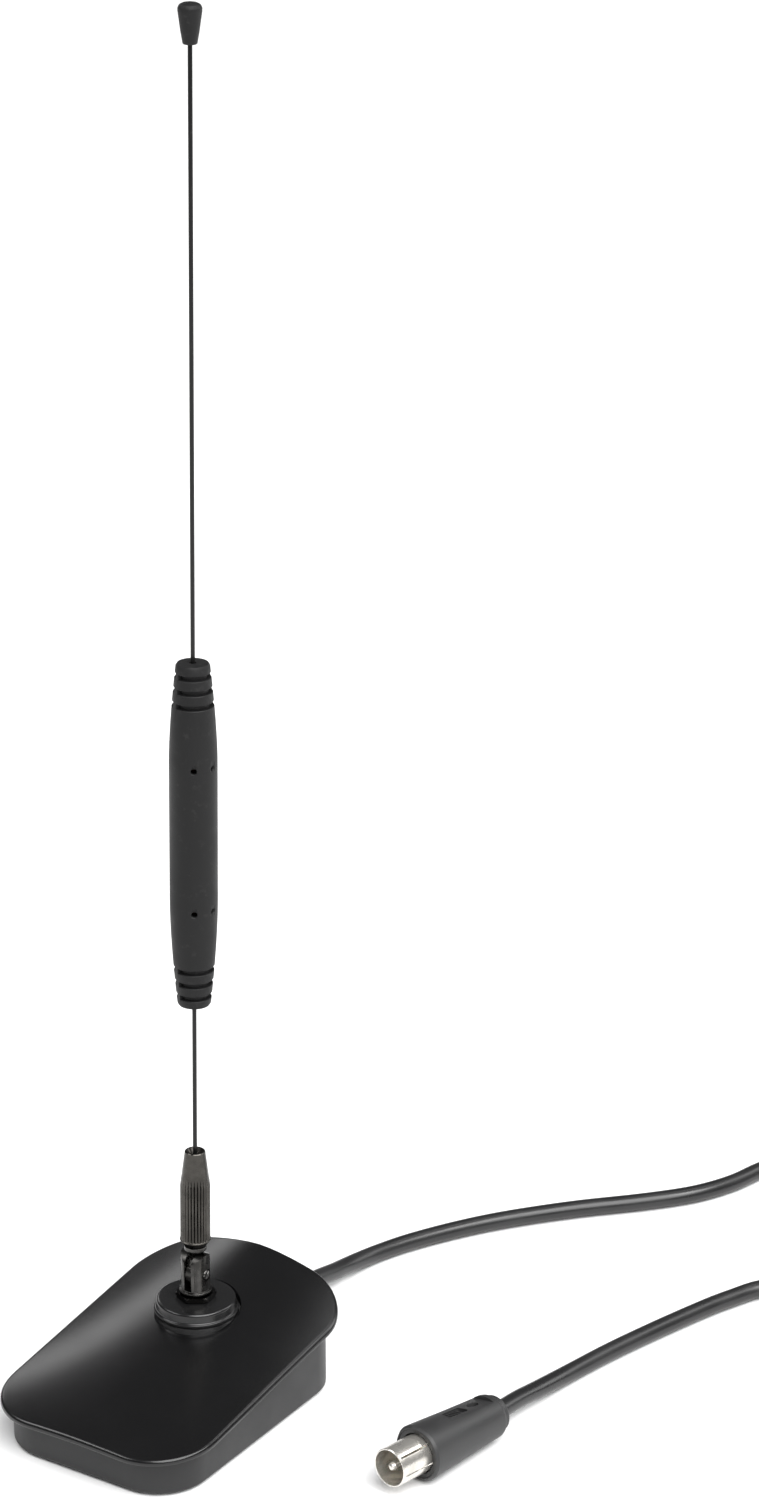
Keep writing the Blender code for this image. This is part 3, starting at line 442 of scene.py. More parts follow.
def shape_with(obj, tools, operation="DIFFERENCE"):
    """Apply Booleans to a piece and remove the tools."""
    for tool in tools:
        modifier = obj.modifiers.new("shape", "BOOLEAN")
        modifier.operation = operation
        modifier.object = tool
    bpy.context.view_layer.update()
    evaluated = obj.evaluated_get(bpy.context.evaluated_depsgraph_get())
    mesh = bpy.data.meshes.new_from_object(evaluated)
    material = obj.data.materials[0]
    obj.modifiers.clear()
    obj.data = mesh
    mesh.materials.clear()
    mesh.materials.append(material)
    for tool in tools:
        bpy.data.objects.remove(tool)
    return obj


def soften(obj, width, segments, angle):
    """Round the edges of a piece that are sharper than the angle."""
    bevel = obj.modifiers.new("edges", "BEVEL")
    bevel.width = width * MM
    bevel.segments = segments
    bevel.limit_method = "ANGLE"
    bevel.angle_limit = math.radians(angle)


def keep(obj, body, slot, *nodes):
    """Let a piece ride on its body and stand for its CAD nodes."""
    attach(obj, body)
    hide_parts(*nodes)


# ------------------------------ camera, floor and light

def make_camera():
    data = bpy.data.cameras.new("camera")
    data.lens = 96.0
    camera = bpy.data.objects.new("camera", data)
    camera.location = Vector((505.6, -686.8, 504.07)) * MM
    tilt, heading = 68.73, 32.93
    camera.rotation_euler = (math.radians(tilt), 0, math.radians(heading))
    bpy.context.scene.collection.objects.link(camera)
    bpy.context.scene.camera = camera


def make_softbox(name, azimuth, elevation, distance, size, power):
    """A soft rectangular lamp aimed at the base, in metres; azimuth 0 is +X and turns anticlockwise."""
    data = bpy.data.lights.new(name, "AREA")
    data.shape = "RECTANGLE"
    data.size, data.size_y = size
    data.energy = power
    lamp = bpy.data.objects.new(name, data)
    a, e = math.radians(azimuth), math.radians(elevation)
    back = Vector((math.cos(a) * math.cos(e), math.sin(a) * math.cos(e), math.sin(e)))
    lamp.location = Vector((0, 0, 0.03)) + back * distance
    lamp.rotation_euler = back.to_track_quat("Z", "Y").to_euler()
    bpy.context.scene.collection.objects.link(lamp)


def make_floor():
    """A wide pale floor, a hair below the part so that the two don't flicker."""
    below = 0.2
    floor_look = Look("studio_floor", (0.86, 0.86, 0.86), 0.9)
    mottled = floor_look.noise(60.0, detail=2.0)
    floor_look.tint(floor_look.ramp(mottled, 0.3, 0.7), (0.88, 0.88, 0.88))
    shape = bmesh.new()
    bmesh.ops.create_circle(shape, cap_ends=True, segments=96, radius=9000)
    LOOKS["floor"] = floor_look
    floor = finish_mesh(shape, "studio_floor", "floor")
    floor.location.z = -below * MM


def make_sun(azimuth, elevation, strength, spread):
    data = bpy.data.lights.new("overhead", "SUN")
    data.energy = strength
    data.angle = math.radians(spread)
    lamp = bpy.data.objects.new("overhead", data)
    lamp.rotation_euler = (math.radians(90 - elevation), 0, math.radians(azimuth + 90))
    bpy.context.scene.collection.objects.link(lamp)


def make_light():
    world = bpy.data.worlds.new("studio")
    world.use_nodes = True
    background = world.node_tree.nodes["Background"]
    background.inputs["Color"].default_value = (0.12, 0.12, 0.1225, 1.0)
    bpy.context.scene.world = world
    make_sun(azimuth=-32, elevation=52, strength=4.4, spread=55)
    make_softbox("rear_left_softbox", 146, 27, 1.6, (0.6, 0.26), 1.35)
    make_softbox("front_left_softbox", 215, 49, 1.6, (1.1, 0.38), 8.0)
    make_softbox("rear_high_softbox", 78, 58, 1.6, (0.3, 0.3), 0.8)
    make_softbox("right_softbox", 18, 48, 1.5, (0.5, 0.4), 5.0)
    make_softbox("rear_right_softbox", 54, 31, 1.5, (0.45, 1.1), 5.5)
    bpy.context.scene.view_settings.view_transform = "Standard"


# ------------------------------ the lead

CABLE_RADIUS = 2.25
EXIT_Z = 8.0
COIL_PITCH = 4.6
COIL_CENTRE = middle("cable_coil")
COIL_MEAN_RADIUS = 24.5
COIL_LOW = span("cable_coil")[0].z + CABLE_RADIUS

ROUTE_FROM_BASE = [
    (0.0, 50.3, 8.0), (0.0, 56.0, 7.8), (0.0, 64.0, 6.6), (0.0, 72.0, 4.9), (-0.1, 79.5, 3.5),
    (1.2, 89.5, 2.4), (5.1, 100.0, 2.3), (12.0, 113.0, 2.3), (20.0, 125.0, 2.3), (32.0, 139.5, 2.3),
    (46.0, 154.0, 2.3), (55.0, 165.0, 2.3), (60.5, 176.0, 2.3), (64.0, 188.0, 2.4), (70.5, 199.0, 2.6),
    (81.0, 207.0, 3.0), (94.0, 211.2, 3.3), (107.0, 212.2, 3.4),
]
ROUTE_TO_PLUG = [
    (125.5, 143.4, 9.6), (114.0, 139.2, 6.6), (104.0, 135.0, 3.9), (97.8, 131.0, 2.8),
    (93.7, 126.8, 2.4), (91.0, 121.0, 2.3), (87.7, 112.5, 2.3), (82.7, 96.4, 2.3), (78.2, 80.0, 2.3),
    (75.0, 65.0, 2.4), (73.5, 52.0, 3.6), (72.9, 43.0, 4.9),
]
# Each turn's column (-1 inner, 1 outer) and layer, in the order they are wound
COIL_CELLS = [(1, 0), (0, 0), (-1, 0), (-1, 1), (0, 1), (1, 1), (0, 2), (1, 2)]
COIL_TURNS = 7 + 150 / 360
CROSSING = 0.15  # share of a turn in which it changes column or layer
FLARE_TURN = 0.167  # share of a turn in which the ends leave the coil
FLARE = 4.8
LEAVE_DROP = 1.1
TIE_AZIMUTH = 20


def eased(t):
    t = min(max(t, 0.0), 1.0)
    return t * t * (3 - 2 * t)


def coil_point(turn):
    """A point of the coil after so many turns, wound clockwise from its north side."""
    now = min(int(turn), len(COIL_CELLS) - 1)
    part = turn - now
    before = COIL_CELLS[max(now - 1, 0)]
    after = COIL_CELLS[min(now + 1, len(COIL_CELLS) - 1)]
    here = COIL_CELLS[now]
    column = before[0] + (here[0] - before[0]) * eased(part / CROSSING)
    layer = here[1] + (after[1] - here[1]) * eased((part - (1 - CROSSING)) / CROSSING)
    radius = COIL_MEAN_RADIUS + column * COIL_PITCH
    entry = 1 - eased(turn / FLARE_TURN)
    leave = eased((turn - (COIL_TURNS - FLARE_TURN)) / FLARE_TURN)
    radius += FLARE * (entry + leave)
    angle = math.pi / 2 - 2 * math.pi * turn
    x = COIL_CENTRE.x + radius * math.cos(angle)
    y = COIL_CENTRE.y + radius * math.sin(angle)
    return Vector((x, y, COIL_LOW + layer * COIL_PITCH - LEAVE_DROP * leave))


def smooth_path(points, spacing):
    """Points about this far apart on a Catmull-Rom curve through the route's points."""
    samples = 12
    knots = [Vector(point) for point in points]
    knots = [2 * knots[0] - knots[1]] + knots + [2 * knots[-1] - knots[-2]]
    dense = []
    for a, b, c, d in zip(knots, knots[1:], knots[2:], knots[3:]):
        for step in range(samples):
            t = step / samples
            bend = (2 * a - 5 * b + 4 * c - d) * t * t + (3 * b - 3 * c + d - a) * t ** 3
            dense.append(0.5 * (2 * b + (c - a) * t + bend))
    dense.append(knots[-2])
    path = [dense[0]]
    travelled = 0.0
    for a, b in zip(dense, dense[1:]):
        travelled += (b - a).length
        if travelled >= spacing:
            path.append(b)
            travelled = 0.0
    path[-1] = dense[-1]
    return path


def make_lead():
    """The whole lead as one round cable: its way out of the base, the coil and its way to the plug."""
    points_a_turn = 24
    steps = round(COIL_TURNS * points_a_turn)
    coil = [coil_point(COIL_TURNS * i / steps) for i in range(steps + 1)]
    path = smooth_path(ROUTE_FROM_BASE + coil + ROUTE_TO_PLUG + [PLUG_REAR], 2.0)
    curve = bpy.data.curves.new("lead", "CURVE")
    curve.dimensions = "3D"
    curve.bevel_depth = CABLE_RADIUS * MM
    curve.bevel_resolution = 6
    curve.use_fill_caps = True
    spline = curve.splines.new("POLY")
    spline.points.add(len(path) - 1)
    for point, position in zip(spline.points, path):
        point.co = (*(position * MM), 1)
    curve.materials.append(LOOKS["jacket"].material)
    lead = bpy.data.objects.new("lead", curve)
    bpy.context.scene.collection.objects.link(lead)
    keep(lead, "base", "cable_jacket", "cable_from_base", "cable_coil", "cable_to_plug")
    return lead


# The plug's own frame starts at its tip, with Z along its axis and -Y up
PLUG_LENGTH = 38.2
PLUG_TIP = Vector((66.1, -4.0, 7.5))
PLUG_HEADING = 9.7
PLUG_DROP = 2.5
FACET_TURN = -12
PLUG_FRAME = Matrix.Translation(PLUG_TIP * MM)
PLUG_FRAME = PLUG_FRAME @ Matrix.Rotation(math.radians(-PLUG_HEADING), 4, "Z")
PLUG_FRAME = PLUG_FRAME @ Matrix.Rotation(math.radians(-90 - PLUG_DROP), 4, "X")
FACET_FRAME = PLUG_FRAME @ Matrix.Rotation(math.radians(FACET_TURN), 4, "Z")
PLUG_REAR = PLUG_FRAME @ Vector((0, 0, (PLUG_LENGTH + 0.3) * MM)) / MM


# ------------------------------ base

WHIP_Y = 11.5
BASE_WIDTH = 53.5
BASE_LENGTH = 72.0
OVERHANG = 3.05
CORNER_FRONT = 13.0
CORNER_REAR = 11.0
WALL = 2.0
BASE_BOTTOM = 0.4
FLOOR_TOP = 2.8
LID_THICKNESS = 1.5
RIM_FRONT = 10.4
RIM_REAR = 20.8
CROWN_FRONT = 3.2
CROWN_REAR = 7.4
CROWN_POWER = 1.65
NOSE_ROUNDING = 0.65
NOSE_POWER = 5
SEAT_HEIGHT = 22.4
BOSS_RADIUS = 10.2
BOSS_FOOT = 10.35
SEAT_RADIUS = 10.75
POCKET_RADIUS = 11.0
STUD_HOLE = 2.8
SCREW_X = 18.5
SCREW_Y = 27.0
MAGNET_Y = -9.0
BOARD_Y = 13.4
CLAMP_Y = 27.0
CLAMP_SCREW_X = 6.0
BOSS_EMBED = 0.6  # how far a boss sinks into the floor it stands on


def corners_at(x, y):
    """Four places, this far each way from the middle."""
    return [(side * x, end * y) for end in (-1, 1) for side in (-1, 1)]


def outline(inset):
    """The base's rounded plan; inset 0 is the lid's edge."""
    half_x = BASE_WIDTH / 2 + OVERHANG - inset
    half_y = BASE_LENGTH / 2 + OVERHANG - inset
    rear = CORNER_REAR + OVERHANG - inset
    front = CORNER_FRONT + OVERHANG - inset
    corners = [
        (half_x - rear, half_y - rear, rear), (rear - half_x, half_y - rear, rear),
        (front - half_x, front - half_y, front), (half_x - front, front - half_y, front),
    ]
    arc_steps = 14
    side_steps = 10
    points = []
    for i, (x, y, radius) in enumerate(corners):
        for step in range(arc_steps + 1):
            angle = math.radians(90 * (i + step / arc_steps))
            points.append(Vector((x + radius * math.cos(angle), y + radius * math.sin(angle))))
        after = corners[(i + 1) % 4]
        angle = math.radians(90 * (i + 1))
        to = Vector((after[0] + after[2] * math.cos(angle), after[1] + after[2] * math.sin(angle)))
        last = points[-1]
        points += [last.lerp(to, step / side_steps) for step in range(1, side_steps)]
    return points


def crowned_height(x, y):
    """The lid's wedge, which climbs and crowns towards the rear."""
    half_x = BASE_WIDTH / 2 + OVERHANG
    half_y = BASE_LENGTH / 2 + OVERHANG
    along = (y + half_y) / (2 * half_y)
    across = min(abs(x) / half_x, 1.0)
    rim = RIM_FRONT + (RIM_REAR - RIM_FRONT) * along
    crown = CROWN_FRONT + (CROWN_REAR - CROWN_FRONT) * along
    nose = 1 - NOSE_ROUNDING * max(1 - along, 0) ** NOSE_POWER
    return rim + crown * nose * (1 - across ** CROWN_POWER)


def lid_height(x, y):
    """The lid's upper surface with the collar's level seat, a boss in front and sunk in behind."""
    height = crowned_height(x, y)
    away = math.hypot(x, y - WHIP_Y)
    sunk = min(height, SEAT_HEIGHT)
    if away <= BOSS_RADIUS:
        return SEAT_HEIGHT
    if away <= BOSS_FOOT:
        return SEAT_HEIGHT + (sunk - SEAT_HEIGHT) * (away - BOSS_RADIUS) / (BOSS_FOOT - BOSS_RADIUS)
    if away <= POCKET_RADIUS:
        return sunk + (height - sunk) * max(away - SEAT_RADIUS, 0) / (POCKET_RADIUS - SEAT_RADIUS)
    return height


def edge_ring(inset, drop):
    return [(x, y, lid_height(x, y) - drop) for x, y in outline(inset)]


def level_ring(inset, height):
    return [(x, y, height) for x, y in outline(inset)]


def about_whip(x, y, scale):
    """The place at this share of a place's distance from the whip's axis."""
    return x * scale, WHIP_Y + (y - WHIP_Y) * scale


def ring_towards(part, inset, drop):
    """A ring that lies between the seat's pocket (part 0) and the outline (part 1)."""
    ring = []
    for x, y in outline(inset):
        reach = math.hypot(x, y - WHIP_Y)
        at = about_whip(x, y, POCKET_RADIUS / reach * (1 - part) + part)
        ring.append((*at, lid_height(*at) - drop))
    return ring


def seat_ring(radius, drop):
    """A round ring about the whip, at the lid's height just inside it."""
    inside = 0.9999
    ring = []
    for x, y in outline(0):
        at = about_whip(x, y, radius / math.hypot(x, y - WHIP_Y))
        ring.append((*at, lid_height(*about_whip(*at, inside)) - drop))
    return ring


def quarter():
    """(inward, down) fractions of a rounded edge's radius, from the face to the side."""
    steps = 4
    angles = [math.radians(90 * i / steps) for i in range(steps + 1)]
    return [(1 - math.sin(angle), 1 - math.cos(angle)) for angle in angles]


def lid_post(x, y):
    """A hollow screw post whose top follows the lid and sinks into it."""
    steps = 24

    def ring(radius, height=None):
        angles = [2 * math.pi * i / steps for i in range(steps)]
        places = [(x + radius * math.cos(angle), y + radius * math.sin(angle)) for angle in angles]
        return [(a, b, height or lid_height(a, b) - LID_THICKNESS / 2) for a, b in places]

    return lofted("lid_post", "lid", [ring(1.1, 9.4), ring(1.1, 5.3), ring(2.5, 5.3), ring(2.5)])


def lid_top_rings():
    """From the stud's hole out over the crown and round the edge."""
    edge = 0.75
    seat_radii = (STUD_HOLE, 6.0, BOSS_RADIUS, BOSS_FOOT, SEAT_RADIUS, POCKET_RADIUS)
    rings = [seat_ring(radius, 0) for radius in seat_radii]
    rings += [ring_towards(part, 3, 0) for part in [0.01, 0.025] + [i / 14 for i in range(1, 14)]]
    rings += [edge_ring(inset, 0) for inset in (3, 2, 1.2)]
    rings += [edge_ring(edge * inward, edge * down) for inward, down in quarter()]
    return rings


def lid_under_rings():
    """From the edge back under the lid, down and up the locating rib, to the stud's hole."""
    under = LID_THICKNESS
    rib_outer = OVERHANG + WALL + 0.35
    rib_inner = rib_outer + 1.0
    rib_foot = under + 2.4
    seat_radii = (POCKET_RADIUS + 0.8, SEAT_RADIUS, BOSS_RADIUS - 1, STUD_HOLE)
    rings = [edge_ring(0, 1.15), edge_ring(0.08, 1.32), edge_ring(0.4, 1.4), edge_ring(2.6, under)]
    rings += [edge_ring(rib_outer, drop) for drop in (under, rib_foot)]
    rings += [edge_ring(rib_inner, drop) for drop in (rib_foot, under)]
    rings += [ring_towards(part, rib_inner, under) for part in (0.75, 0.5, 0.25)]
    rings += [seat_ring(radius, under) for radius in seat_radii]
    return rings


def make_lid():
    lid = lofted("lid_shell", "lid", lid_top_rings() + lid_under_rings(), along=True, sharp=28)
    shape_with(lid, [lid_post(x, y) for x, y in corners_at(SCREW_X, SCREW_Y)], "UNION")
    keep(lid, "base", "base_plastic", "top_cover")


def housing_rings():
    """From the pad's recess under the floor, up outside the walls and down inside them to the floor."""
    wall_top = LID_THICKNESS + 0.4
    pad_recess = OVERHANG + 4.0
    foot = 0.9
    inner = OVERHANG + WALL
    rings = [level_ring(pad_recess, 1.6), level_ring(pad_recess, BASE_BOTTOM)]
    for inward, down in quarter()[::-1]:
        rings.append(level_ring(OVERHANG + foot * down, BASE_BOTTOM + foot * inward))
    rings += [edge_ring(OVERHANG, wall_top + 0.2), edge_ring(OVERHANG + 0.2, wall_top)]
    rings.append(edge_ring(inner, wall_top))
    rings += [level_ring(inner, FLOOR_TOP + 0.6), level_ring(inner + 0.6, FLOOR_TOP)]
    return rings


def housing_bosses():
    """What stands on the floor: screw bosses, the magnet's nest, the board's stakes and the lead's saddle."""
    sunk = FLOOR_TOP - BOSS_EMBED
    saddle_top = 5.45
    nest = [(14.2, 6.0), (14.2, sunk), (12.9, sunk), (12.9, 6.0)]
    stake = [(0, 11.3), (0.8, 11.3), (0.8, 9.0), (1.7, 9.0), (1.7, sunk), (0, sunk)]
    clamp = [(0, 4.6), (0.95, 4.6), (0.95, 10.25), (2.2, 10.25), (2.2, sunk), (0, sunk)]
    bosses = []
    for x, y in corners_at(SCREW_X, SCREW_Y):
        bosses.append(put(rod("screw_boss", "housing", 3.2, sunk, 5.0), (x, y, 0)))
    bosses.append(put(turned("magnet_nest", "housing", nest, 64), (0, MAGNET_Y, 0)))
    for x, y in corners_at(8.2, 4.8):
        bosses.append(put(turned("board_stake", "housing", stake, 24), (x, BOARD_Y + y, 0)))
    for x in (-CLAMP_SCREW_X, CLAMP_SCREW_X):
        bosses.append(put(turned("clamp_boss", "housing", clamp, 24), (x, CLAMP_Y, 0)))
    saddle = block("cable_saddle", "housing", (5.0, 2.0, saddle_top - sunk))
    bosses.append(put(saddle, (0, CLAMP_Y, (saddle_top + sunk) / 2)))
    return bosses


def make_housing():
    tub = lofted("housing_shell", "housing", housing_rings(), sharp=28)
    keep(tub, "base", "base_plastic", "base_housing")
    shape_with(tub, housing_bosses(), "UNION")
    cuts = [put(rod("lead_hole", "housing", 3.8, -6, 6), (0, BASE_LENGTH / 2, EXIT_Z), (90, 0, 0))]
    shank = [(0, 7.0), (1.35, 7.0), (1.35, 3.2), (2.3, 3.2), (2.3, 0.8), (2.6, 0.3), (0, 0.3)]
    for x, y in corners_at(SCREW_X, SCREW_Y):
        cuts.append(put(turned("screw_hole", "housing", shank, 32), (x, y, 0)))
    shape_with(tub, cuts)


def make_foot():
    inset = OVERHANG + 4.3
    top = 1.3
    edge = 0.3
    rings = [level_ring(inset + edge * down, edge * inward) for inward, down in quarter()[::-1]]
    rings += [level_ring(inset + edge * inward, top - edge * down) for inward, down in quarter()[::-1]]
    keep(lofted("foot_mat", "rubber", rings), "base", "pad_rubber", "foot_pad")


def make_cover_screws():
    bottom = 1.9
    outline_points = [(0, 0), (1.3, 0), (1.9, 0.4), (1.9, 1.0), (0.8, 1.0), (0.8, 6.2), (0.35, 7.0), (0, 7.0)]
    profile = rounded(outline_points, 0.15, 3)
    for i, (x, y) in enumerate(corners_at(SCREW_X, SCREW_Y)):
        at = (x, y, bottom)
        screw = put(turned("cross_head_screw", "zinc", profile, 36), at)
        slots = [put(block("slot", "zinc", (2.1, 0.5, 1.2)), at, (0, 0, spin)) for spin in (20, 110)]
        shape_with(screw, slots)
        keep(screw, "base", "zinc_steel", f"cover_screw_{i + 1}")


def make_strain_relief():
    """The ribbed sleeve where the lead leaves through the rear wall."""
    rear = BASE_LENGTH / 2
    tip = 50.0
    grommet = [
        (0, 31.8), (4.8, 31.8), (4.8, 33.7), (3.5, 33.7), (3.5, 36.3), (4.8, 36.3), (4.8, 37.3), (4.0, 37.9),
    ]
    for i in range(4):
        at = rear + 3.2 + i * 2.5
        radius = 3.85 - 1.2 * (at - rear) / (tip - rear)
        grommet += [(radius, at), (radius - 0.45, at + 0.2), (radius - 0.5, at + 0.9)]
        grommet.append((radius - 0.1, at + 1.1))
    grommet += [(2.75, tip - 0.4), (2.45, tip), (0, tip)]
    relief = turned("ribbed_relief", "matt", rounded(grommet, 0.12, 3), 48)
    keep(put(relief, (0, 0, EXIT_Z), (-90, 0, 0)), "base", "pad_rubber", "strain_relief")


def make_coil_tie():
    """A flat strap with rounded edges around the coiled lead."""
    low, high = span("coil_tie")
    length, width = 17.3, 4.0
    thick = 0.8
    corner = 2.2
    corner_steps = 8
    half_x, half_z = length / 2 - thick / 2, (high.z - low.z) / 2 - thick / 2
    section = [(-1, -0.4), (-0.9, -1), (0.9, -1), (1, -0.4), (1, 0.4), (0.9, 1), (-0.9, 1), (-1, 0.4)]
    rings = []
    for i, (x, z) in enumerate(((1, 1), (-1, 1), (-1, -1), (1, -1))):
        for step in range(corner_steps + 1):
            angle = math.radians(90 * i + 90 * step / corner_steps)
            out = Vector((math.cos(angle), 0, math.sin(angle)))
            centre = Vector((x * (half_x - corner), 0, z * (half_z - corner))) + out * corner
            rings.append([centre + out * a * thick / 2 + Vector((0, b * width / 2, 0)) for a, b in section])
    strap = lofted("lead_tie", "rubber", rings, along=True)
    keep(put(strap, middle("coil_tie"), (0, 0, TIE_AZIMUTH)), "base", "pad_rubber", "coil_tie")


# ------------------------------ whip foot

COLLAR_BOTTOM = 22.7
COLLAR_TOP = 26.05
COLLAR_RADIUS = 10.43
STUD_BOTTOM = 15.9
HEX_TOP = 27.6
HEX_FLATS = 8.7
HEX_TURN = 36.3
PIVOT_Z = 32.8
POST_RADIUS = 3.5
SLOT_WIDTH = 2.0
EAR_TOP = 5.5  # above the pivot
EAR_RADIUS = 3.65
PIVOT_HOLE = 0.95
WHIP_LEAN = 1.25
WHIP_FRAME = Matrix.Translation(Vector((0, WHIP_Y, PIVOT_Z)) * MM)
WHIP_FRAME = WHIP_FRAME @ Matrix.Rotation(math.radians(-WHIP_LEAN), 4, "X")


def rod(name, look, radius, bottom, top, steps=32):
    return turned(name, look, [(0, bottom), (radius, bottom), (radius, top), (0, top)], steps)


def hexagon(across_flats):
    """A radius that follows a hexagon wherever the profile is wider than its flats."""
    def swell(angle, radius, height):
        to_corner = (angle + math.pi / 6) % (math.pi / 3) - math.pi / 6
        flat = across_flats / 2 / math.cos(math.pi / 6 - abs(to_corner))
        return min(radius, flat)
    return swell


def make_collar():
    profile = [
        (STUD_HOLE, COLLAR_BOTTOM), (COLLAR_RADIUS, COLLAR_BOTTOM), (COLLAR_RADIUS, COLLAR_BOTTOM + 0.75),
        (9.95, COLLAR_BOTTOM + 1.0), (9.72, COLLAR_TOP), (STUD_HOLE, COLLAR_TOP),
    ]
    collar = turned("collar_disc", "gloss", rounded(profile, [0.2, 0.3, 0.5, 0.85], 7), 144, sharp=50)
    keep(put(collar, (0, WHIP_Y, 0)), "base", "gloss_trim", "collar")


def make_bushing():
    bottom = COLLAR_TOP + 0.3
    edge = 0.3
    corner = HEX_FLATS / 2 / math.cos(math.pi / 6)
    profile = [
        (1.5, HEX_TOP), (1.5, STUD_BOTTOM), (2.35, STUD_BOTTOM), (2.5, STUD_BOTTOM + 0.2), (2.5, bottom),
        (corner - edge, bottom), (corner, bottom + edge), (corner, HEX_TOP - edge), (corner - edge, HEX_TOP),
    ]
    bushing = turned("hex_bushing", "black_metal", profile, 96, sharp=25, swell=hexagon(HEX_FLATS))
    keep(put(bushing, (0, WHIP_Y, 0), (0, 0, HEX_TURN)), "base", "black_nickel", "swivel_bushing")


def ear_rounding():
    """What lies outside the clevis ears' round tops, as a prism along X."""
    reach = EAR_RADIUS
    arc = [(reach * math.cos(a), reach * math.sin(a)) for a in (math.pi * i / 40 for i in range(41))]
    section = [(9, 0), (9, 9), (-9, 9), (-9, 0)] + arc[::-1]
    rings = [[(x, y, z) for y, z in section] for x in (-6, 6)]
    return put(lofted("ear_rounding", "gunmetal", rings), (0, WHIP_Y, PIVOT_Z + EAR_TOP - reach))


def make_post():
    """The clevis on its swivelling stem, which is riveted over under the bushing."""
    crease = 40
    profile = [
        (0, 14.7), (1.6, 14.7), (2.0, 15.0), (2.0, 15.6), (1.2, 15.6), (1.2, 27.9), (4.0, 27.9),
        (4.0, 28.5), (POST_RADIUS, 28.65), (POST_RADIUS, 39.3), (0, 39.3),
    ]
    sizes = [0.1, 0.1, 0.1, 0.05, 0.05, 0.2, 0.2, 0.08, 0.2]
    post = turned("clevis_post", "gunmetal", rounded(profile, sizes, 4), 96, sharp=crease)
    put(post, (0, WHIP_Y, 0))
    slot = put(block("slot", "gunmetal", (SLOT_WIDTH, 10, 12)), (0, WHIP_Y, 34.9))
    hole = PIVOT_HOLE
    profile = [(0, 6), (1.5, 6), (1.5, 2.15), (hole, 2.15), (hole, -2.15), (1.5, -2.15), (1.5, -6), (0, -6)]
    bore = put(turned("bore", "gunmetal", profile, 32), (0, WHIP_Y, PIVOT_Z), (0, 90, 0))
    shape_with(post, [ear_rounding(), slot, bore])
    shade(post, crease)
    soften(post, 0.2, 3, 50)
    keep(post, "post", "black_nickel", "pivot_post")


def make_pivot():
    """The slotted screw across the clevis, and its nut on the far side."""
    pin = [(0, -3.4), (0.65, -3.4), (0.65, 2.45), (1.25, 2.45), (1.25, 3.2), (0.95, 3.5), (0, 3.5)]
    screw = turned("pivot_screw_slotted", "screw", rounded(pin, 0.12, 4), 48)
    put(screw, (0, WHIP_Y, PIVOT_Z), (0, 90, 0))
    slot = put(block("slot", "gunmetal", (0.9, 0.42, 3.4)), (3.5, WHIP_Y, PIVOT_Z), (-35, 0, 0))
    keep(shape_with(screw, [slot]), "post", "black_nickel", "pivot_screw")
    flats = 2.0
    reach = flats / 2 / math.cos(math.pi / 6)
    profile = [(0.8, -3.05), (reach - 0.1, -3.05), (reach, -2.95), (reach, -2.45), (0.8, -2.45)]
    nut = turned("pivot_nut_hex", "gunmetal", profile, 48, swell=hexagon(flats))
    keep(put(nut, (0, WHIP_Y, PIVOT_Z), (0, 90, 0)), "post", "black_nickel", "pivot_nut")


# ------------------------------ whip

# Heights are above the pivot
TONGUE_THICKNESS = 1.6
TONGUE_RADIUS = 3.15
NECK_BOTTOM = 5.8
NECK_RADIUS = 2.7
FERRULE_BOTTOM = 7.5
FERRULE_CONE = 23.5
FERRULE_TOP = 32.5
FERRULE_RADIUS = 3.65
FERRULE_RIM_RADIUS = 3.8
FERRULE_TIP_RADIUS = 2.5
FLUTES = 28
COIL_BOTTOM = 71.1
COIL_TOP = 156.6
COIL_RADIUS = 5.68
RIB_AZIMUTH = 64.5
GROOVE_PITCH = 3.45
GROOVES = [start + GROOVE_PITCH * i for start in (73.2, 146.3) for i in range(3)]
GROOVE_WIDTH = 1.2
PIN_HOLES = (96.1, 131.8)
ROD_RADIUS = 0.53
BORE = ROD_RADIUS + 0.3


def make_tongue():
    """The flat tongue between the clevis ears, its round neck and the spigot inside the ferrule."""
    half = TONGUE_THICKNESS / 2
    web_top = NECK_BOTTOM + 0.6
    profile = [
        (0, NECK_BOTTOM), (NECK_RADIUS - 0.4, NECK_BOTTOM), (NECK_RADIUS, NECK_BOTTOM + 0.5),
        (NECK_RADIUS, 7.2), (1.7, 7.2), (1.7, 13.0), (0, 13.0),
    ]
    tongue = put(turned("tilt_tongue", "gunmetal", rounded(profile, 0.12, 3), 64), on=WHIP_FRAME)
    eye = put(rod("eye", "gunmetal", TONGUE_RADIUS, -half, half, 64), turn=(0, 90, 0), on=WHIP_FRAME)
    web = put(block("web", "gunmetal", (TONGUE_THICKNESS, 4.6, web_top)), (0, 0, web_top / 2), on=WHIP_FRAME)
    shape_with(tongue, [eye, web], "UNION")
    shape_with(tongue, [put(rod("hole", "gunmetal", PIVOT_HOLE, -3, 3), turn=(0, 90, 0), on=WHIP_FRAME)])
    keep(tongue, "whip", "black_nickel", "whip_tongue")


def fluted(angle, radius, height):
    """Narrow V flutes above the ferrule's smooth ring, which run out on its cone."""
    if height < FLUTE_BOTTOM + 0.1:
        return radius
    half_width = 0.3  # of a flute's pitch
    depth = 0.36
    phase = abs((angle * FLUTES / (2 * math.pi)) % 1 - 0.5)
    groove = max(0.0, 1 - phase / half_width)
    return min(radius, FERRULE_RADIUS - depth * groove)


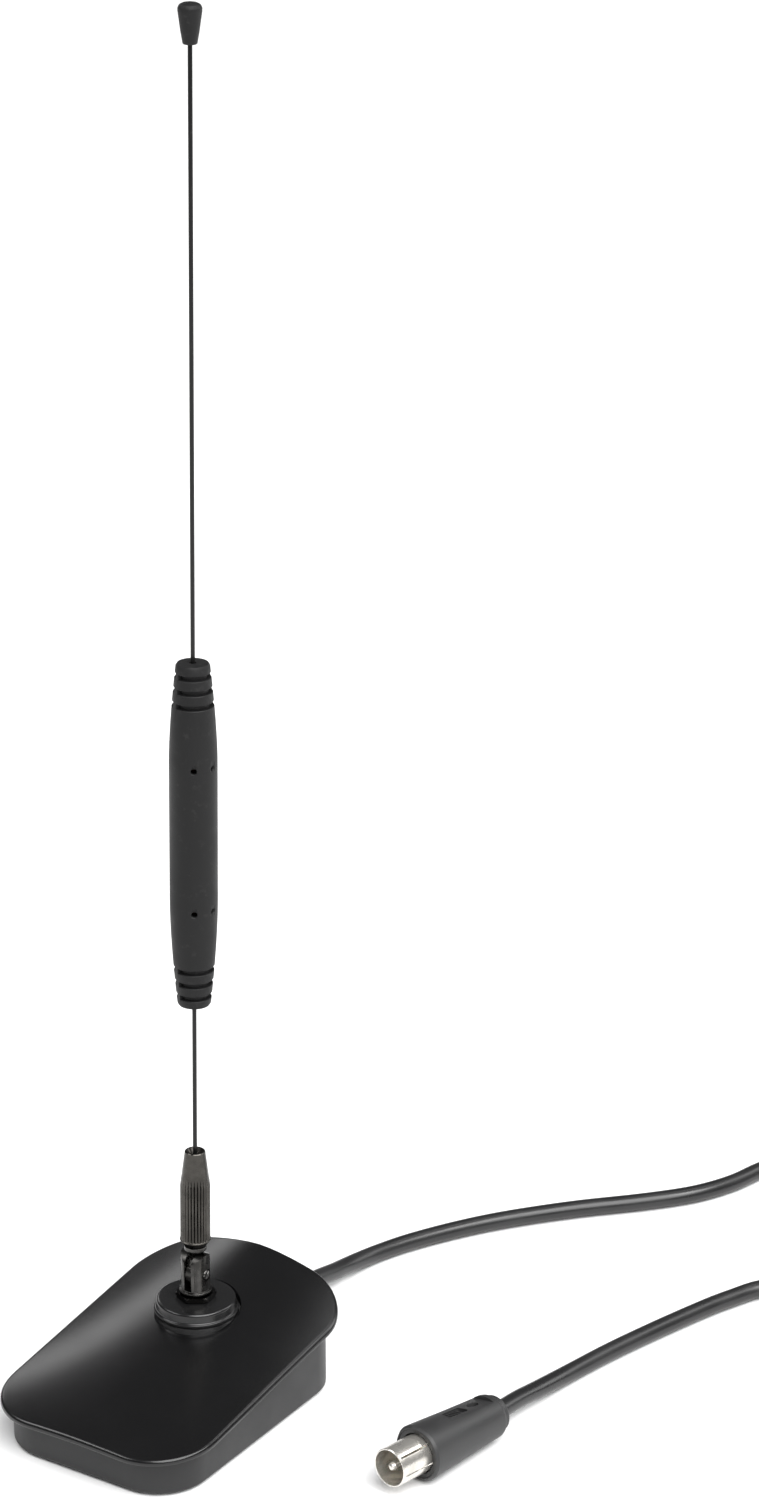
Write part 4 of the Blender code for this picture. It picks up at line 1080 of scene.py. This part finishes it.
def make_ferrule():
    bottom = FERRULE_BOTTOM
    radius = FERRULE_RADIUS
    top = FERRULE_TOP
    cone = FERRULE_CONE
    cone_steps = 24
    rim = FERRULE_RIM_RADIUS
    profile = [
        (BORE, 14.0), (2.0, 14.0), (2.0, bottom), (2.65, bottom), (2.85, bottom + 0.1),
        (3.42, FLUTE_BOTTOM - 0.5), (3.45, FLUTE_BOTTOM - 0.38), (rim - 0.08, FLUTE_BOTTOM - 0.36),
        (rim, FLUTE_BOTTOM - 0.28), (rim, FLUTE_BOTTOM - 0.08), (rim - 0.08, FLUTE_BOTTOM),
        (radius, FLUTE_BOTTOM + 0.05), (radius, FLUTE_BOTTOM + 0.2), (radius, FLUTE_BOTTOM + 6),
        (radius, cone),
    ]
    for i in range(1, cone_steps + 1):
        part = i / cone_steps
        profile.append((radius - (radius - FERRULE_TIP_RADIUS) * part, cone + (top - 0.15 - cone) * part))
    profile += [(2.35, top), (2.0, top), (BORE, top - 1.7)]
    ferrule = turned("fluted_ferrule", "bronze", profile, FLUTES * 8, sharp=34, swell=fluted)
    keep(put(ferrule, on=WHIP_FRAME), "whip", "black_nickel", "ferrule")


def make_rods():
    for name, node, bottom, top in (
        ("steel_rod_lower", "lower_rod", 14.3, 91.5),
        ("steel_rod_upper", "upper_rod", 138.5, 305.0),
    ):
        profile = rounded([(0, bottom), (ROD_RADIUS, bottom), (ROD_RADIUS, top), (0, top)], 0.1, 3)
        keep(put(turned(name, "rod", profile, 32), on=WHIP_FRAME), "whip", "rod_black", node)


def sleeve_radius(height):
    """The coil housing's outer radius: nearly straight, closing in smoothly at both ends."""
    end_radius = 3.95
    end = min((height - COIL_BOTTOM) / 26.0, (COIL_TOP - height) / 24.0, 1.0)
    return COIL_RADIUS - (COIL_RADIUS - end_radius) * (1 - max(end, 0)) ** 1.6


def ribbed(angle, radius, height):
    """Two ribs bridge the flexing grooves, on opposite sides."""
    half_width = math.radians(9.2)
    away = abs((angle - math.radians(RIB_AZIMUTH) + math.pi / 2) % math.pi - math.pi / 2)
    in_groove = any(bottom - 0.01 <= height <= bottom + GROOVE_WIDTH + 0.01 for bottom in GROOVES)
    if in_groove and away < half_width:
        return sleeve_radius(height)
    return radius


def groove_profile(bottom):
    edge = 0.15
    lip = 0.1
    depth = 1.0
    top = bottom + GROOVE_WIDTH
    deep = sleeve_radius(bottom + GROOVE_WIDTH / 2) - depth
    return [
        (sleeve_radius(bottom - edge), bottom - edge), (sleeve_radius(bottom) - lip, bottom),
        (deep, bottom + 0.03), (deep, top - 0.03),
        (sleeve_radius(top) - lip, top), (sleeve_radius(top + edge), top + edge),
    ]


def coil_housing_profile():
    """Up the grooved outside, then down inside around the loading coil's cavity."""
    rounding = 0.6
    low, high = COIL_BOTTOM + rounding, COIL_TOP - rounding
    profile = [(3.3, COIL_BOTTOM), (3.7, COIL_BOTTOM + 0.08), (sleeve_radius(low), low)]
    for bottom in GROOVES[:3]:
        profile += groove_profile(bottom)
    profile += [(sleeve_radius(height), height) for height in range(83, 146, 3)]
    for bottom in GROOVES[3:]:
        profile += groove_profile(bottom)
    profile += [(sleeve_radius(high), high), (3.7, COIL_TOP - 0.08), (3.3, COIL_TOP)]
    profile += [(BORE, COIL_TOP), (BORE, 142.0), (3.8, 140.0), (3.8, 90.0), (BORE, 88.0), (BORE, COIL_BOTTOM)]
    return profile


def make_coil_housing():
    housing = turned("coil_sleeve", "matt", coil_housing_profile(), 120, sharp=30, swell=ribbed)
    put(housing, on=WHIP_FRAME)
    holes = []
    for height in PIN_HOLES:
        for side in (-1, 1):
            turn = (0, 90, RIB_AZIMUTH + 88 + side * 26)
            holes.append(put(rod("pin_hole", "matt", 0.75, -8, 8, 24), (0, 0, height), turn, WHIP_FRAME))
    shape_with(housing, holes)
    keep(housing, "whip", "moulded_black", "coil_housing")


def make_end_cap():
    profile = [
        (0, 305.3), (BORE, 305.3), (BORE, 298.8), (1.45, 298.8), (1.65, 299.0), (2.14, 301.8), (2.43, 304.0),
        (2.72, 306.0), (2.74, 306.7), (2.4, 307.45), (1.6, 307.85), (0.8, 308.0), (0, 308.0),
    ]
    sizes = [0, 0, 0.2, 0.2, 1, 1, 1, 0.5, 0.6, 0.6, 0.5]
    cap = turned("tip_cap", "matt", rounded(profile, sizes, 4), 64)
    keep(put(cap, on=WHIP_FRAME), "whip", "moulded_black", "end_cap")


# ------------------------------ plug

SLEEVE_OUTER = 4.76
SLEEVE_INNER = 4.4
GRIP_FRONT = 9.4
GRIP_TAPER = 3.4
GRIP_CREASE = 38
WINDOW_AT = 23.4


def squarish(angle, radius, height):
    """The grip's section is a little flatter towards its four sides; its bore and ends stay round."""
    if height < 9.3 or height > PLUG_LENGTH - 2.5 or radius < 5.2:
        return radius
    return radius * (1 - 0.03 * abs(math.cos(2 * angle)) ** 2)


def grip_at(height, size, lift):
    """A block whose underside lies lift above the plug's axis, along the grip's taper."""
    piece = block("grip_tool", "grip", size)
    return put(piece, (0, -lift - size[1] / 2, height), (-GRIP_TAPER, 0, 0), FACET_FRAME)


def grip_dimple():
    dimple = put(rod("dimple", "grip", 1.3, -1.6, 1.6, 40), (0, -5.0, 30.3), (90, 0, 0), FACET_FRAME)
    dimple.matrix_world = dimple.matrix_world @ Matrix.Diagonal((1.0, 1.3, 1.0, 1.0))
    return dimple


def grip_ribs():
    """Six small ribs across the grip's window, each lower than the one before."""
    ribs = []
    for i in range(6):
        height = 20.9 + 1.0 * i
        ribs.append(grip_at(height, (4.2, 1.4, 0.42), 3.2 + 0.06 * (WINDOW_AT - height)))
    return ribs


def make_grip():
    rear = PLUG_LENGTH
    ring = rear - 1.9
    bore = SLEEVE_OUTER + 0.3
    profile = [
        (0, 15.3), (bore, 15.3), (bore, 9.7), (6.05, 9.7), (6.15, GRIP_FRONT), (6.55, GRIP_FRONT),
        (7.0, 10.15), (6.95, 11.5), (6.5, 18.0), (6.1, 25.0), (5.7, 32.4), (5.55, ring - 0.8),
        (5.2, ring - 0.1), (4.45, ring), (4.6, ring + 0.2), (4.6, rear - 0.5), (4.2, rear), (0, rear),
    ]
    sizes = [0, 0.1, 0.15, 0.12, 0.2, 0.25, 1, 2, 2, 2, 0.8, 0.5, 0.1, 0.1, 0.35, 0.3]
    grip = turned("plug_body", "grip", rounded(profile, sizes, 5), 96, sharp=GRIP_CREASE, swell=squarish)
    put(grip, on=PLUG_FRAME)
    facet = grip_at(27.0, (10, 4, 15.0), 4.95)
    window = grip_at(WINDOW_AT, (3.8, 2, 7.4), 3.6)
    soften(window, 0.8, 4, 40)
    shape_with(grip, [facet, window, grip_dimple()])
    shape_with(grip, grip_ribs(), "UNION")
    shade(grip, GRIP_CREASE)
    keep(grip, "base", "moulded_black", "plug_grip")


def make_sleeve():
    rear = 15.0
    edge = 0.12
    outer = [
        (SLEEVE_INNER, 0.05), (SLEEVE_INNER + edge, 0), (SLEEVE_OUTER - edge, 0), (SLEEVE_OUTER, edge),
        (SLEEVE_OUTER, rear), (SLEEVE_INNER, rear),
    ]
    sleeve = put(turned("ground_sleeve", "nickel", outer, 96, sharp=40), on=PLUG_FRAME)
    slits = []
    for angle, width in ((41, 0.45), (98, 0.22)):
        out = math.radians(angle)
        at = (SLEEVE_OUTER * math.sin(out), -SLEEVE_OUTER * math.cos(out), 6.2)
        slits.append(put(block("slit", "nickel", (width, 2.0, 9.8)), at, (0, 0, angle), PLUG_FRAME))
    shape_with(sleeve, slits)
    keep(sleeve, "base", "bright_nickel", "plug_sleeve")


def make_contacts():
    holder = [(1.45, 15.0), (4.1, 15.0), (4.1, 8.8), (3.8, 8.5), (1.75, 8.5), (1.45, 8.8)]
    holder = put(turned("pin_insulator", "insulator", holder, 64), on=PLUG_FRAME)
    keep(holder, "base", "insulator", "plug_insulator")
    pin = [(0, 15.0), (1.15, 15.0), (1.15, 1.3), (0.75, 0.6), (0.3, 0.4), (0, 0.4)]
    pin = turned("centre_pin", "nickel", rounded(pin, [0.05, 0.4, 0.2, 0.1], 5), 40)
    keep(put(pin, on=PLUG_FRAME), "base", "bright_nickel", "plug_pin")


# ------------------------------ the CAD nodes' own looks

CAD_LOOKS = {
    "base_housing": "housing", "top_cover": "lid", "foot_pad": "rubber", "foot_magnet": "ferrite",
    "magnet_yoke": "zinc", "cable_clamp": "housing", "circuit_board": "laminate", "balun_core": "ferrite",
    "cable_core_wire": "copper", "whip_lead": "copper", "strain_relief": "matt", "lead_inside_base": "jacket",
    "collar": "gloss", "swivel_bushing": "gunmetal", "solder_tag": "nickel", "lock_washer": "zinc",
    "lock_nut": "zinc", "pivot_post": "gunmetal", "pivot_screw": "gunmetal", "pivot_nut": "gunmetal",
    "whip_tongue": "gunmetal", "ferrule": "gunmetal", "lower_rod": "rod", "upper_rod": "rod",
    "end_cap": "matt", "coil_housing": "matt", "coil_former": "insulator", "loading_coil": "enamel",
    "plug_grip": "matt", "plug_sleeve": "nickel", "plug_insulator": "insulator", "plug_pin": "nickel",
    "cable_from_base": "jacket", "cable_to_plug": "jacket", "cable_coil": "jacket", "coil_tie": "rubber",
}


def dress_cad():
    for name, obj in NODES.items():
        look = "zinc" if "screw_" in name else CAD_LOOKS[name]
        obj.data.materials.clear()
        obj.data.materials.append(LOOKS[look].material)


make_camera()
make_floor()
make_light()
dress_cad()
lead = make_lead()
make_housing()
make_lid()
make_foot()
make_cover_screws()
make_strain_relief()
make_coil_tie()
make_collar()
make_bushing()
make_post()
make_pivot()
make_tongue()
make_ferrule()
make_rods()
make_coil_housing()
make_end_cap()
make_grip()
make_sleeve()
make_contacts()
